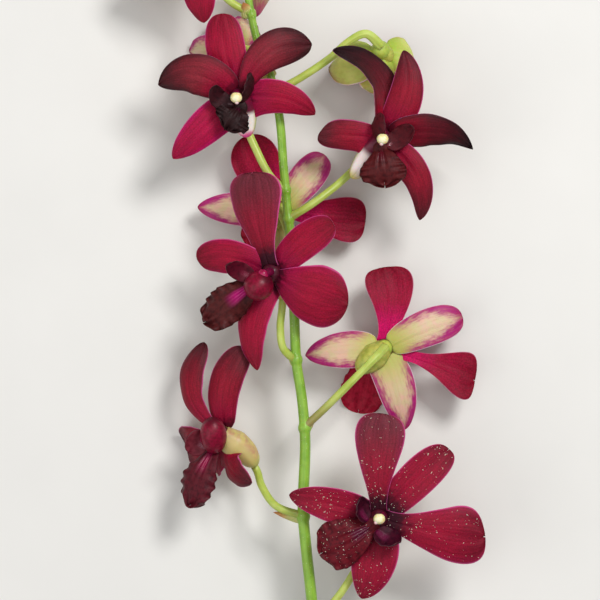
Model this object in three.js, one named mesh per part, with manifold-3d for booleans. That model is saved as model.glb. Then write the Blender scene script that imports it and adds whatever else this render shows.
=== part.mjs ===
// A cut dendrobium orchid stem that lies on a flat surface.
// Millimetres, +Z up. The stem runs along +Y from its cut end to its buds.
// Each bloom is three solids: its tepals with the hub and chin, its lip, and its column.
import * as THREE from "three";
import { mergeVertices } from "three/addons/utils/BufferGeometryUtils.js";
import Module from "manifold-3d";

const wasm = await Module();
wasm.setup();

// Driving dimensions
const TEPAL_THICKNESS = 0.7;
const LIP_THICKNESS = 0.8;
const GAP = 0.3; // clearance between two touching pieces
const HUB_RADIUS = 3.4;
const HUB_DEPTH = 3.4; // half the hub's depth along the bloom's facing
const TEPAL_ROOT = 2; // distance of a tepal's root from the bloom's centre
const PETAL_LAYER = 0.9; // the petals' roots stand this far in front of the sepals' roots
const CHIN_RADII = [2.4, 3.3, 2.8, 1.4]; // at even steps from the hub to the chin's tip
const CHIN_DROP = 1.2; // the chin's middle hangs this far behind its straight line
const LIP_OFFSET = 3.4; // the lip's foot, away from the dorsal sepal
const LIP_FOOT_RADIUS = 2.9;
const LIP_FOOT_DEPTH = 0.9; // half the foot's depth along the bloom's facing
const LOBE_INSET = 2.3; // a side lobe's root, from the claw towards the lobe's tip
const LOBE_RISE = 0.2; // and in front of the claw
const LOBE_ARCH = -1.8; // bends a side lobe away from the column
const COLUMN_OFFSET = 1.6; // the column's foot, towards the dorsal sepal
const COLUMN_LENGTH = 7.5;
const COLUMN_RADIUS = 1.5;
const COLUMN_BEND = 0.4; // the column's middle stands this far out of its straight line
const CAP_OFFSET = 0.9; // the cap's middle, towards the dorsal sepal
const CAP_RADIUS = 2.0;
const CAP_DEPTH = 1.6; // half the cap's depth along the bloom's facing
const PEDICEL_RADIUS = 1.4;
const OVARY_RADIUS = 1.8;
const BUD_STALK_RADIUS = 1.12;
const BUD_STALK_RISE = 0.8; // a bud stalk's middle stands this far above its straight line
const PEDICEL_SIDES = 6;
const PEDICEL_STEPS = 6;
const BUD_STALK_SIDES = 5;
const BUD_STALK_STEPS = 3;
const STEM_SIDES = 8;
const STEM_STEPS = 24; // evenly spread rings, besides three at each node
const HUB_SIDES = 8;
const ROUND_STEPS = 0.6; // an ellipsoid's rings from pole to pole, for each of its sides
const CHIN_SIDES = 6;
const CHIN_STEPS = 3;
const COLUMN_SIDES = 6;
const COLUMN_STEPS = 2;
const CAP_SIDES = 7;
const STEEP = 0.9; // a tube that rises more than this starts its rings level with X
const WELD_DISTANCE = 1e-4; // corners closer than this become one
const REST_BLOCK = [400, 600, 40]; // what it covers below z = 0 is trimmed off the part
const RING_SWELL = 0.45; // how far a node's ring stands out of the stem
const RING_HALF_LENGTH = 1.3;
const SHARE_SAMPLES = 300; // places tried along the stem when a node is set on it
const CENTRE_SHIFT = [-2.4, 11.04, 0]; // brings the middle of the part's outline over the origin

// Rows along a blade and columns across it
const PETAL_GRID = [6, 4];
const SEPAL_GRID = [5, 2];
const LIP_GRID = [4, 4];
const LOBE_GRID = [3, 2];
const BRACT_GRID = [2, 2];

// Outline shapes: how the half width rises from the base, falls to the tip, and the claw left at the base
const OUTLINES = {
  petal: { rise: 0.95, fall: 0.5, claw: 0.2 },
  spatula: { rise: 1.4, fall: 0.36, claw: 0.34 },
  fan: { rise: 2.6, fall: 0.36, claw: 0.42 },
  sepal: { rise: 0.5, fall: 0.62, claw: 0.3 },
  blunt: { rise: 0.62, fall: 0.36, claw: 0.4 },
  point: { rise: 0.5, fall: 0.9, claw: 0.35 },
  lobe: { rise: 0.55, fall: 0.5, claw: 0.35 },
  lip: { rise: 0.9, fall: 0.42, claw: 0.3 },
  bract: { rise: 0.35, fall: 0.9, claw: 0.4 },
};
const CLAW_POWER = 3; // the claw's extra width fades towards the tip by this power
const TIP_SHARE = 0.12; // a blade's tip keeps this share of its half width
const TIP_CROWDING = 1.5; // rows of a blade crowd towards its tip by this power
const RUFFLE_TURNS = 3; // half waves of a ruffled edge along the blade
const NOTCH_POWER = 8; // a notch stays near the tip
const NOTCH_SPREAD = 0.625; // a notch spreads over this share of the half width
const SLANT_POWER = 4; // a slant grows towards the tip

// The stem's centre line from the cut end to the last bud: x, y, z and radius
const STEM_LINE = [
  [10.5, -186, 1.85, 2.15],
  [9.4, -173, 1.88, 2.12],
  [8.2, -158, 3.9, 2.08],
  [7.1, -143, 8.3, 2.05],
  [5.8, -126, 14.5, 2],
  [4.1, -105, 19.5, 1.97],
  [2.1, -86.5, 21.5, 1.95],
  [1.1, -74, 22, 1.92],
  [1.8, -49, 22, 1.88],
  [0.6, -34, 22, 1.85],
  [-1.2, -22, 22, 1.8],
  [-2, -5, 22, 1.74],
  [-2.6, 15, 22, 1.7],
  [-4.5, 33, 22.3, 1.62],
  [-5.7, 46, 22.6, 1.56],
  [-7.2, 64, 23, 1.5],
  [-10.5, 79, 23, 1.46],
  [-15.2, 91.5, 23, 1.42],
  [-18, 105, 23.2, 1.36],
  [-21, 121, 23.6, 1.28],
  [-22.5, 137, 24.6, 1.15],
  [-21.5, 152, 26, 1.0],
];

// Blooms from the cut end upwards. A tip is measured from its bloom's centre.
// facing points out of the bloom's face; dorsal points at its upper sepal; node is on the stem's line.
// arch bends a blade towards its face, bow bends it sideways, roll turns it about its length,
// cup lifts its edges towards its face, notch dents its tip and slant draws one corner of the tip out.
// lean turns a side lobe's face from the column towards the bloom's front; a hood is folded over the column.
const BLOOMS = [
  {
    centre: [27.5, -76, 29.5],
    facing: [-0.08, -0.1, 1],
    dorsal: [24.5, 24, -1],
    chin: [-4, -9, -7],
    pedicel: [[5, -112, 18.2], [12, -105.5, 21], [18.5, -96, 22.2], [25, -83.5, 22.6]],
    tepals: [
      {
        kind: "petal", tip: [1.2, 36.5, 3], width: 17.5,
        shape: "spatula", arch: 1.5, cup: -1.2, bow: -0.8,
      },
      {
        kind: "petal", tip: [37, -6.5, 1], width: 20.5,
        shape: "spatula", arch: 2.5, cup: -1.4, notch: 1.2, bow: 1.0, slant: 1.5,
      },
      {
        kind: "sepal", tip: [24.5, 24, -1], width: 13,
        shape: "blunt", arch: 1.5, cup: 0.8, notch: 1.2, bow: -0.6, slant: 1.0,
      },
      { kind: "sepal", tip: [-31.3, 8, -1.5], width: 11.8, arch: 1.5, cup: 0.8, bow: 0.6 },
      { kind: "sepal", tip: [-6, -28.2, -2.5], width: 15.5, arch: 2, cup: -1.2, bow: -1.4 },
    ],
    lip: { tip: [-20.5, -12.5, 0.5], width: 17.5, arch: 2.5, cup: -1.0, ruffle: 0.9, notch: 2.2 },
    lobes: [
      { tip: [-6.5, 7.5, 7.5], width: 8.5, cup: 1.2, lean: 0.3 },
      { tip: [7.5, -8, 7.5], width: 9.5, cup: 1.2, lean: 0.35 },
    ],
  },
  {
    centre: [-27.3, -47.5, 18],
    facing: [-0.78, -0.3, 0.55],
    dorsal: [7, 31, 5],
    chin: [12.2, -10.8, -1],
    chinSize: 1.55,
    pedicel: [[1.1, -75.6, 22], [-8.5, -72, 21.6], [-13.5, -65, 17.5], [-15.4, -59.5, 14]],
    tepals: [
      { kind: "petal", tip: [-6, 32.5, 0], width: 10, arch: 5, bow: -6.5, roll: 20, cup: -1.5 },
      { kind: "petal", tip: [-13, -3.5, -18.6], width: 14, arch: 3, cup: 1 },
      {
        kind: "sepal", tip: [8, 31, 3], width: 11.5,
        shape: "blunt", arch: 3, bow: -3.5, roll: 36, cup: -1.8, slant: 1.5,
      },
      { kind: "sepal", tip: [10.5, -16.3, 6], width: 12.5, arch: 3, bow: 3, cup: -1.2 },
      { kind: "sepal", tip: [-2, -13.5, -14], width: 11, arch: 2.5, cup: 0.8 },
    ],
    lip: { tip: [-11.5, -25, 1], width: 13, arch: 3, cup: -1.8, ruffle: 0.9, notch: 1.5, roll: -20 },
    lobes: [
      { tip: [-12.5, -1, 4], width: 9.5, cup: 0.6, lean: 0.8 },
    ],
    hood: { place: [-3, 0.2, 5], across: 4.7, along: 6.8 },
  },
  {
    centre: [29.4, -17, 16.5],
    facing: [-0.12, -0.12, -1],
    dorsal: [27.7, 10.9, -3],
    chin: [-9.5, -8, 2.5],
    chinSize: 1.45,
    pedicel: [[1.5, -44.5, 22], [8, -38.5, 24.6], [20, -26.5, 25.2], [27, -19.5, 23.8]],
    tepals: [
      {
        kind: "petal", tip: [0.5, 28.5, -4], width: 17,
        shape: "spatula", arch: -1.5, cup: -1.2, bow: -2.0, slant: 1.0,
      },
      {
        kind: "petal", tip: [32, -11.3, -4], width: 16.5,
        shape: "fan", arch: -1.5, cup: -1.2, bow: 0.6, slant: -2, notch: 0.8,
      },
      { kind: "sepal", tip: [27.7, 11, -3.5], width: 13, shape: "blunt", arch: -2, cup: 0.8, bow: 1 },
      { kind: "sepal", tip: [-27.5, -2.5, -3], width: 12.5, arch: -2, cup: 0.8, bow: -0.6 },
      { kind: "sepal", tip: [7.5, -28.5, -5], width: 13, arch: -2.5, cup: 0.8, bow: 0.6 },
    ],
    lip: { tip: [-8.8, -23, -17.2], width: 16, arch: 3, cup: -1, ruffle: 0.9, notch: 1.2 },
    lobes: [
      { tip: [-7, 0.5, -9.5], width: 7, cup: 0.6 },
      { tip: [4, -7.5, -9.5], width: 7, cup: 0.6 },
    ],
  },
  {
    centre: [-9.8, 9.5, 31],
    facing: [-0.5, -0.18, 0.85],
    dorsal: [21.5, 16.5, 8],
    chin: [3.5, -9.5, -5],
    pedicel: [[-1.3, -21.4, 22], [-5.8, -17, 24.3], [-6.9, -10, 24.6], [-6.2, -2, 24.4], [-6, 6, 25.5]],
    tepals: [
      {
        kind: "petal", tip: [-6.8, 35, 2], width: 21,
        shape: "spatula", arch: 1.5, bow: -0.6, cup: -1.4, notch: 1,
      },
      { kind: "petal", tip: [26.5, -11, 7], width: 22.5, arch: 2.5, cup: -2, bow: 1 },
      { kind: "sepal", tip: [21.4, 17, 8.5], width: 12, shape: "blunt", arch: 1.5, cup: -0.8, bow: -1.4 },
      { kind: "sepal", tip: [-26, 4.5, -9], width: 12, shape: "blunt", arch: 2.5, bow: 3.5, cup: -1 },
      { kind: "sepal", tip: [-5, -34, -5.5], width: 11.5, arch: 2, bow: 4.5, cup: -1.4 },
    ],
    lip: { tip: [-23.8, -17.4, -4], width: 13.5, arch: 2, cup: -1.6, ruffle: 1.8, notch: 2.4 },
    lobes: [
      { tip: [-15.8, 2.6, 6.5], width: 6.4, cup: 0.6, lean: 0.9 },
    ],
    hood: { place: [-4.6, -4.6, 5], across: 5.1, along: 5.3 },
  },
  {
    centre: [-7, 31.5, 11.5],
    facing: [0.05, 0, -1],
    dorsal: [16, 19.5, -3],
    chin: [-5, -8, 1],
    pedicel: [[-2.9, 18, 22], [-3.8, 22, 18.8], [-5.5, 27.5, 17.4]],
    tepals: [
      { kind: "petal", tip: [-12.5, 26, -3], width: 17, arch: -1, cup: -1 },
      { kind: "petal", tip: [30, -4, -3], width: 16, shape: "spatula", arch: -1, cup: -1 },
      { kind: "sepal", tip: [15.8, 19.5, -3.5], width: 12, shape: "blunt", arch: -1.5, cup: 0.8 },
      { kind: "sepal", tip: [-29, 1.2, -2], width: 11.5, arch: -1.5, cup: 0.8 },
      { kind: "sepal", tip: [2, -27, -4], width: 10, arch: -1.5, cup: 0.8 },
    ],
    lip: { tip: [-10.5, -13.5, -7], width: 14, arch: 2, cup: -0.8, ruffle: 0.5, notch: 1.2 },
    lobes: [
      { tip: [-7.5, 1.5, -7.5], width: 6, cup: 0.6 },
      { tip: [3.5, -6.5, -7.5], width: 6, cup: 0.6 },
    ],
  },
  {
    centre: [29.4, 56.5, 30],
    facing: [-0.12, -0.2, 0.97],
    dorsal: [7, 30, 1],
    chin: [-11.5, -14, -3.5],
    pedicel: [[-3.9, 28.8, 22.2], [4, 33.5, 22.5], [16, 43, 19.6], [25, 53, 20.8]],
    tepals: [
      {
        kind: "petal", tip: [-17.9, 30.5, 4], width: 11.5,
        shape: "sepal", arch: 2, bow: 10.5, roll: 55, cup: 1.2,
      },
      {
        kind: "petal", tip: [31, -3.6, -6], width: 11.5,
        shape: "point", arch: 4, bow: -6.5, cup: -1, roll: 12,
      },
      { kind: "sepal", tip: [6.8, 30.5, 0], width: 11.5, arch: 2.5, cup: -1.4, bow: 4.2 },
      {
        kind: "sepal", tip: [-22.8, 1.5, -2], width: 10.5,
        shape: "blunt", arch: 2, cup: -0.9, bow: 0.5, slant: -3,
      },
      { kind: "sepal", tip: [12.5, -28.5, -6], width: 9.5, arch: 3.5, bow: -5.5, cup: -1 },
    ],
    lip: { tip: [0.2, -16.8, 3], width: 16.5, arch: 2.5, cup: -1.2, ruffle: 0.6, notch: 1.5 },
    lobes: [
      { tip: [9.8, 3.8, 7], width: 7, cup: 0.5, lean: 1.0 },
      { tip: [-1.2, 8.5, 7], width: 6.5, cup: 0.6 },
    ],
  },
  {
    centre: [-21.4, 71, 30.5],
    facing: [-0.08, -0.22, 0.97],
    dorsal: [-4.6, 29.5, 1],
    chin: [3, -14.3, -3],
    chinSize: 1.15,
    pedicel: [[-5.6, 38.5, 22.5], [-10.5, 43.5, 22.6], [-15.5, 53, 21.4], [-19.2, 62, 21.8]],
    tepals: [
      {
        kind: "petal", tip: [25.4, 18.2, 0], width: 13.5,
        shape: "petal", arch: 4, bow: -6.5, cup: -1.4, slant: 2.5,
      },
      {
        kind: "petal", tip: [-28, 4.2, -4], width: 14,
        shape: "sepal", arch: 5, bow: 6.5, cup: -1.4, slant: -4,
      },
      { kind: "sepal", tip: [-5.8, 28.8, 0], width: 13.6, shape: "blunt", arch: 2.5, cup: -1.2, bow: -1 },
      { kind: "sepal", tip: [-23, -21.5, -4], width: 11.8, arch: 3, cup: -1, bow: 0.4 },
      { kind: "sepal", tip: [26.6, -6.3, -1], width: 11, arch: 3, cup: -1, bow: -3.6 },
    ],
    lip: { tip: [-4, -11, 5], width: 13.5, arch: 2.5, cup: -1.4, ruffle: 1.2, notch: -1.5 },
    lobes: [
      { tip: [-7.8, 3.6, 7], width: 6.4, cup: 0.3, lean: 0.9, bow: -2.2 },
      { tip: [4, 8, 7.5], width: 6, cup: 0.6 },
    ],
  },
  {
    centre: [28.2, 87.5, 20.5],
    facing: [-0.12, -0.42, -0.9],
    dorsal: [-17.5, -3.5, -8],
    chin: [4, -4.5, -6.5],
    pedicel: [[-8.9, 73, 23], [-1, 77, 24], [10.5, 84.6, 24.6], [17, 90.3, 25.8], [23, 93, 26]],
    tepals: [
      { kind: "petal", tip: [-7, -6, -20.9], width: 13, arch: -2, cup: 1 },
      { kind: "petal", tip: [5, -1, -20], width: 12, arch: -2, cup: 1 },
      { kind: "sepal", tip: [-18, -6, -9], width: 16.5, arch: -4, cup: 2.5, bow: 2 },
      { kind: "sepal", tip: [2.5, -15, -10], width: 20, arch: -4.5, cup: 2.5 },
      { kind: "sepal", tip: [11.5, -6, -11], width: 15, arch: -4.5, cup: 2.5 },
    ],
    lip: { tip: [5, -8.5, -15.5], width: 9, arch: -1, cup: 1, ruffle: 0.3 },
    lobes: [],
  },
  {
    centre: [-24, 89, 14],
    facing: [-0.3, 0.1, -0.95],
    dorsal: [5, 20, -6],
    chin: [2, -8, 3],
    pedicel: [[-13.2, 86.8, 23], [-17, 87.5, 20.8], [-20.5, 88.3, 19.6]],
    tepals: [
      { kind: "petal", tip: [10, 3.5, -11.5], width: 11, arch: -1.5, cup: -0.8 },
      { kind: "petal", tip: [-4, 8, -12], width: 11, arch: -1.5, cup: -0.8 },
      { kind: "sepal", tip: [5, 10, -10], width: 10.5, arch: -3, cup: 0.8 },
      { kind: "sepal", tip: [-15, -1, -14.6], width: 11, arch: -2.5, cup: 0.8 },
      { kind: "sepal", tip: [11, -18, -7], width: 11, arch: -2, cup: 0.8 },
    ],
    lip: { tip: [-3, -15, -9], width: 12, arch: 2, cup: -0.8, ruffle: 0.5 },
    lobes: [],
  },
  {
    centre: [-37, 121.5, 26.5],
    facing: [-0.3, -0.15, 0.94],
    dorsal: [6, 25, 3],
    chin: [4, -8.5, -5],
    pedicel: [[-17.2, 100.2, 23.1], [-24.5, 104.5, 23.8], [-30, 111, 22.2], [-34.6, 118, 21.2]],
    tepals: [
      { kind: "petal", tip: [-21, 15, -3], width: 15, shape: "spatula", arch: 2.5, cup: -1.2 },
      { kind: "petal", tip: [24, 11.5, 7], width: 15, shape: "spatula", arch: 2, cup: -1.2 },
      { kind: "sepal", tip: [3, 26, 1], width: 12, shape: "blunt", arch: 2, cup: 0.8 },
      { kind: "sepal", tip: [-21, -11, -5], width: 12, arch: 2.5, cup: 0.8 },
      { kind: "sepal", tip: [3.5, -24.5, -3], width: 12.5, arch: 2, cup: -1 },
    ],
    lip: { tip: [-6.5, -14, 4], width: 13, arch: 2, cup: -1.2, ruffle: 0.6, notch: 1.2 },
    lobes: [
      { tip: [-7, 3, 7], width: 6.5, cup: 0.6 },
      { tip: [4, 1, 8], width: 6.5, cup: 0.6 },
    ],
  },
];

// Unopened buds at the top: base, tip, greatest radius, and the stalk's start on the stem
const BUDS = [
  { base: [-12.5, 119, 21], tip: [-15.2, 99.5, 15], radius: 5, node: [-19.8, 114, 23.4] },
  { base: [-33, 141.5, 21.5], tip: [-42.5, 148.5, 17.5], radius: 4.3, node: [-22.2, 131, 24.2] },
  { base: [-12.5, 146.5, 21.5], tip: [-4.5, 153, 17.5], radius: 3.8, node: [-22.4, 140.5, 24.9] },
  { base: [-28, 152, 27.5], tip: [-33, 159, 27], radius: 3, node: [-22, 147, 25.5] },
  { base: [-20.8, 156.5, 26.8], tip: [-19, 164, 26.6], radius: 2.6, node: [-21.6, 151, 26] },
];
const BUD_PROFILE = [0.45, 0.85, 1, 0.86, 0.5, 0.14]; // radius shares from a bud's base to its tip
const BUD_SIDES = 8;
const BUD_STEPS = 5;
const BUD_CHIN_STEPS = 2;
const BUD_CHIN_DROP = 1.15; // a bud's chin reaches this many bud radii below its axis
const BUD_CHIN_PLACE = 0.25; // and lies at this share of the bud's length
const BUD_CHIN_PROFILE = [0.7, 0.6, 0.3]; // radius shares from the bud's axis to the chin's end

// Papery bracts at the nodes: root on the stem's line, tip, and width
const BRACTS = [
  { root: [1.4, -76.6, 22.4], tip: [-9.4, -74.3, 21.4], width: 3.4 },
  { root: [1.5, -45.6, 23], tip: [5.6, -40.6, 20.4], width: 3.2 },
  { root: [-1.3, -22.4, 23], tip: [-4.4, -16.8, 20.6], width: 3.2 },
  { root: [-9.8, 77, 23], tip: [-13.6, 83.6, 26.1], width: 4.4 },
  { root: [-17.2, 98.6, 23.2], tip: [-19.9, 104, 26.2], width: 4.6 },
  { root: [-5.4, 37.2, 23], tip: [-9.2, 40.8, 21.6], width: 3.2 },
];
const BRACT_CUP = -0.5;
const SCAPE_NODES = [[8, -156, 4.3], [6.2, -131, 12.6]]; // bare rings below the lowest bloom

const MATERIALS = {
  stem: { color: 0x82aa2d, roughness: 0.45 },
  tepal: { color: 0x96193a, roughness: 0.6 },
  lip: { color: 0x5f1e23, roughness: 0.5 },
  column: { color: 0xd8cf9a, roughness: 0.5 },
  bud: { color: 0x9aa04a, roughness: 0.5 },
};

const vector = (point) => new THREE.Vector3(...point);

// Geometry helpers

function closedGeometry(points, faces) {
  const geometry = new THREE.BufferGeometry().setFromPoints(points);
  geometry.setIndex(faces.flat());
  return geometry;
}

function solidOf(geometry) {
  const bare = geometry.clone();
  bare.deleteAttribute("normal");
  bare.deleteAttribute("uv");
  const merged = mergeVertices(bare, WELD_DISTANCE);
  return new wasm.Manifold(
    new wasm.Mesh({
      numProp: 3,
      vertProperties: merged.attributes.position.array,
      triVerts: new Uint32Array(merged.index.array),
    }),
  );
}

function geometryOf(solid) {
  const mesh = solid.getMesh();
  const geometry = new THREE.BufferGeometry();
  geometry.setAttribute("position", new THREE.BufferAttribute(mesh.vertProperties, 3));
  geometry.setIndex(new THREE.BufferAttribute(mesh.triVerts, 1));
  geometry.computeVertexNormals();
  return geometry;
}

function fused(solids) {
  return wasm.Manifold.union(solids);
}

// The largest body of a solid, so that no scrap of a cut is left loose.
function mainBody(solid) {
  const bodies = solid.decompose();
  return bodies.reduce((best, body) => (body.volume() > best.volume() ? body : best));
}

// The solid itself where it is clear of another, or else its largest body outside the other.
function clearOf(solid, other) {
  return solid.intersect(other).volume() > 0 ? mainBody(solid.subtract(other)) : solid;
}

// Both faces of a blade are split along the same diagonal, which keeps them apart.
function quad(a, b, c, d) {
  return [a, b, c, a, c, d];
}

// Half the width of a blade at share u of its length, as a share of its greatest half width.
function outlineShare(outline, u) {
  const peak = outline.rise / (outline.rise + outline.fall);
  const beta = (t) => Math.pow(t, outline.rise) * Math.pow(1 - t, outline.fall);
  return Math.max(beta(u) / beta(peak) + outline.claw * Math.pow(1 - u, CLAW_POWER), TIP_SHARE);
}

// A thin closed blade along a curved midline: a tepal, a lobe of the lip or a bract.
function bladeSolid(blade, grid, thickness, grow) {
  const [rows, columns] = grid;
  const { root, tip, facing, kind, width } = blade;
  const { shape = kind, arch = 0, bow = 0, roll = 0, cup = 0, notch = 0, ruffle = 0, slant = 0 } = blade;
  const chord = tip.clone().sub(root);
  const along = chord.clone().normalize();
  const face = facing.clone().addScaledVector(along, -facing.dot(along)).normalize();
  face.applyAxisAngle(along, THREE.MathUtils.degToRad(roll));
  const side = along.clone().cross(face);
  const middle = root.clone().add(tip).multiplyScalar(0.5);
  middle.addScaledVector(face, 2 * arch).addScaledVector(side, 2 * bow);
  const midline = new THREE.QuadraticBezierCurve3(root, middle, tip);

  const front = [];
  const back = [];
  for (let row = 0; row <= rows; row++) {
    const u = 1 - Math.pow(1 - row / rows, TIP_CROWDING);
    const centre = midline.getPoint(u);
    const tangent = midline.getTangent(u);
    const normal = face.clone().addScaledVector(tangent, -face.dot(tangent)).normalize();
    const across = tangent.clone().cross(normal);
    const share = outlineShare(OUTLINES[shape], u);
    for (let column = 0; column <= columns; column++) {
      const v = (2 * column) / columns - 1;
      const wave = ruffle * v * v * Math.sin(Math.PI * (RUFFLE_TURNS * u + (v > 0 ? 1 : 0)));
      const dent = notch * Math.pow(u, NOTCH_POWER) * (1 - Math.min(1, Math.abs(v) / NOTCH_SPREAD));
      const lead = slant * v * share * Math.pow(u, SLANT_POWER);
      const point = centre
        .clone()
        .addScaledVector(across, v * (share * width * 0.5 + grow))
        .addScaledVector(normal, cup * v * v * share + wave)
        .addScaledVector(tangent, (row === rows ? grow : 0) - dent + lead);
      front.push(point.clone().addScaledVector(normal, thickness / 2 + grow));
      back.push(point.clone().addScaledVector(normal, -thickness / 2 - grow));
    }
  }

  const faces = [];
  const lower = front.length;
  const index = (row, column) => row * (columns + 1) + column;
  for (let row = 0; row < rows; row++) {
    for (let column = 0; column < columns; column++) {
      const a = index(row, column);
      const b = index(row, column + 1);
      const c = index(row + 1, column + 1);
      const d = index(row + 1, column);
      faces.push(quad(a, b, c, d));
      faces.push([a, c, b, a, d, c].map((corner) => corner + lower));
    }
  }
  for (let row = 0; row < rows; row++) {
    const left = index(row, 0);
    const leftNext = index(row + 1, 0);
    const right = index(row, columns);
    const rightNext = index(row + 1, columns);
    faces.push(quad(left, leftNext, leftNext + lower, left + lower));
    faces.push(quad(rightNext, right, right + lower, rightNext + lower));
  }
  for (let column = 0; column < columns; column++) {
    const base = index(0, column);
    const baseNext = index(0, column + 1);
    const end = index(rows, column);
    const endNext = index(rows, column + 1);
    faces.push(quad(baseNext, base, base + lower, baseNext + lower));
    faces.push(quad(end, endNext, endNext + lower, end + lower));
  }
  return solidOf(closedGeometry([...front, ...back], faces));
}

function evenShares(steps) {
  return Array.from({ length: steps + 1 }, (_, step) => step / steps);
}

// A closed tube through points, with a ring at each share of its length and a radius of radiusAt(share).
// The rings' first corners keep level with the surface, so the tube doesn't twist.
function tubeSolid(points, radiusAt, sides, shares) {
  const curve = new THREE.CatmullRomCurve3(points, false, "centripetal");
  const steps = shares.length - 1;
  const rings = [];
  let level = null;
  for (const share of shares) {
    const centre = curve.getPointAt(share);
    const tangent = curve.getTangentAt(share);
    const upright = Math.abs(tangent.z) > STEEP ? new THREE.Vector3(1, 0, 0) : new THREE.Vector3(0, 0, 1);
    const reference = level ?? tangent.clone().cross(upright);
    const across = reference.clone().addScaledVector(tangent, -reference.dot(tangent)).normalize();
    const over = across.clone().cross(tangent);
    const radius = radiusAt(share);
    level = across;
    for (let side = 0; side < sides; side++) {
      const angle = (2 * Math.PI * (side + 0.5)) / sides;
      rings.push(
        centre
          .clone()
          .addScaledVector(over, radius * Math.cos(angle))
          .addScaledVector(across, radius * Math.sin(angle)),
      );
    }
  }
  const start = rings.length;
  const end = start + 1;
  const faces = [];
  for (let side = 0; side < sides; side++) {
    const next = (side + 1) % sides;
    for (let step = 0; step < steps; step++) {
      const here = step * sides;
      const there = here + sides;
      faces.push(quad(here + side, here + next, there + next, there + side));
    }
    const last = steps * sides;
    faces.push([start, next, side]);
    faces.push([end, last + side, last + next]);
  }
  return solidOf(closedGeometry([...rings, points[0], points[points.length - 1]], faces));
}

// Reads a list of values at a share of its length, straight between neighbours.
function valueAlong(values, share) {
  const place = share * (values.length - 1);
  const index = Math.min(Math.floor(place), values.length - 2);
  return THREE.MathUtils.lerp(values[index], values[index + 1], place - index);
}

function ellipsoidSolid(centre, axis, across, along, segments) {
  const geometry = new THREE.SphereGeometry(1, segments, Math.round(segments * ROUND_STEPS));
  geometry.rotateX(Math.PI / 2);
  geometry.scale(across, across, along);
  geometry.applyQuaternion(
    new THREE.Quaternion().setFromUnitVectors(new THREE.Vector3(0, 0, 1), axis),
  );
  geometry.translate(centre.x, centre.y, centre.z);
  return solidOf(geometry);
}

// Stem: the rachis with a ring at each node, its bracts and pedicels

function rachisSolid() {
  const points = STEM_LINE.map((station) => vector(station.slice(0, 3)));
  const line = new THREE.CatmullRomCurve3(points, false, "centripetal");
  const length = line.getLength();
  const samples = evenShares(SHARE_SAMPLES);
  const nearestShare = (point) =>
    samples.reduce((best, share) => {
      const closer = line.getPointAt(share).distanceTo(point) < line.getPointAt(best).distanceTo(point);
      return closer ? share : best;
    });
  const nodes = [...SCAPE_NODES, ...BLOOMS.map((bloom) => bloom.pedicel[0])].map(vector).map(nearestShare);
  const reach = RING_HALF_LENGTH / length;
  const isFree = (share) => nodes.every((node) => Math.abs(share - node) > 2 * reach);
  const free = evenShares(STEM_STEPS).filter(isFree);
  const rings = nodes.flatMap((node) => [node - reach, node, node + reach]);
  const shares = [...free, ...rings].sort((a, b) => a - b);
  const radii = STEM_LINE.map((station) => station[3]);
  const radiusAt = (share) => valueAlong(radii, share) + (nodes.includes(share) ? RING_SWELL : 0);
  return tubeSolid(points, radiusAt, STEM_SIDES, shares);
}

function pedicelSolid(bloom) {
  const end = vector(bloom.centre).addScaledVector(vector(bloom.facing).normalize(), -HUB_DEPTH - GAP);
  const points = [...bloom.pedicel.map(vector), end];
  const radii = [PEDICEL_RADIUS, PEDICEL_RADIUS, PEDICEL_RADIUS, OVARY_RADIUS];
  const radiusAt = (share) => valueAlong(radii, share);
  return tubeSolid(points, radiusAt, PEDICEL_SIDES, evenShares(PEDICEL_STEPS));
}

function bractSolid(bract) {
  const blade = {
    kind: "bract",
    root: vector(bract.root),
    tip: vector(bract.tip),
    facing: new THREE.Vector3(0, 0, 1),
    width: bract.width,
    cup: BRACT_CUP,
  };
  return bladeSolid(blade, BRACT_GRID, TEPAL_THICKNESS, 0);
}

function budStalkSolid(bud) {
  const node = vector(bud.node);
  const base = vector(bud.base);
  const middle = node.clone().lerp(base, 0.5);
  middle.z += BUD_STALK_RISE;
  return tubeSolid([node, middle, base], () => BUD_STALK_RADIUS, BUD_STALK_SIDES, evenShares(BUD_STALK_STEPS));
}

function stemSolid() {
  const whole = fused([
    rachisSolid(),
    ...BLOOMS.map(pedicelSolid),
    ...BRACTS.map(bractSolid),
    ...BUDS.map(budStalkSolid),
  ]);
  const seats = [...BLOOMS.map((bloom) => hubSolid(bloom, GAP)), ...BUDS.map((bud) => budSolid(bud, GAP))];
  return seats.reduce(clearOf, whole);
}

// Bloom: the hub with its chin, five tepals, the lip and the column

function hubSolid(bloom, grow) {
  const facing = vector(bloom.facing).normalize();
  const centre = vector(bloom.centre);
  const chinTip = centre.clone().add(vector(bloom.chin));
  const chinMiddle = centre.clone().lerp(chinTip, 0.5).addScaledVector(facing, -CHIN_DROP);
  const { chinSize = 1 } = bloom;
  const chinRadiusAt = (share) => chinSize * valueAlong(CHIN_RADII, share) + grow;
  return fused([
    ellipsoidSolid(centre, facing, HUB_RADIUS + grow, HUB_DEPTH + grow, HUB_SIDES),
    tubeSolid([centre, chinMiddle, chinTip], chinRadiusAt, CHIN_SIDES, evenShares(CHIN_STEPS)),
  ]);
}

function tepalBlade(bloom, tepal) {
  const facing = vector(bloom.facing).normalize();
  const centre = vector(bloom.centre);
  const tip = centre.clone().add(vector(tepal.tip));
  const outwards = vector(tepal.tip).normalize();
  const root = centre.clone().addScaledVector(outwards, TEPAL_ROOT);
  root.addScaledVector(facing, tepal.kind === "petal" ? PETAL_LAYER : -PETAL_LAYER);
  return { ...tepal, root, tip, facing };
}

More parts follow.
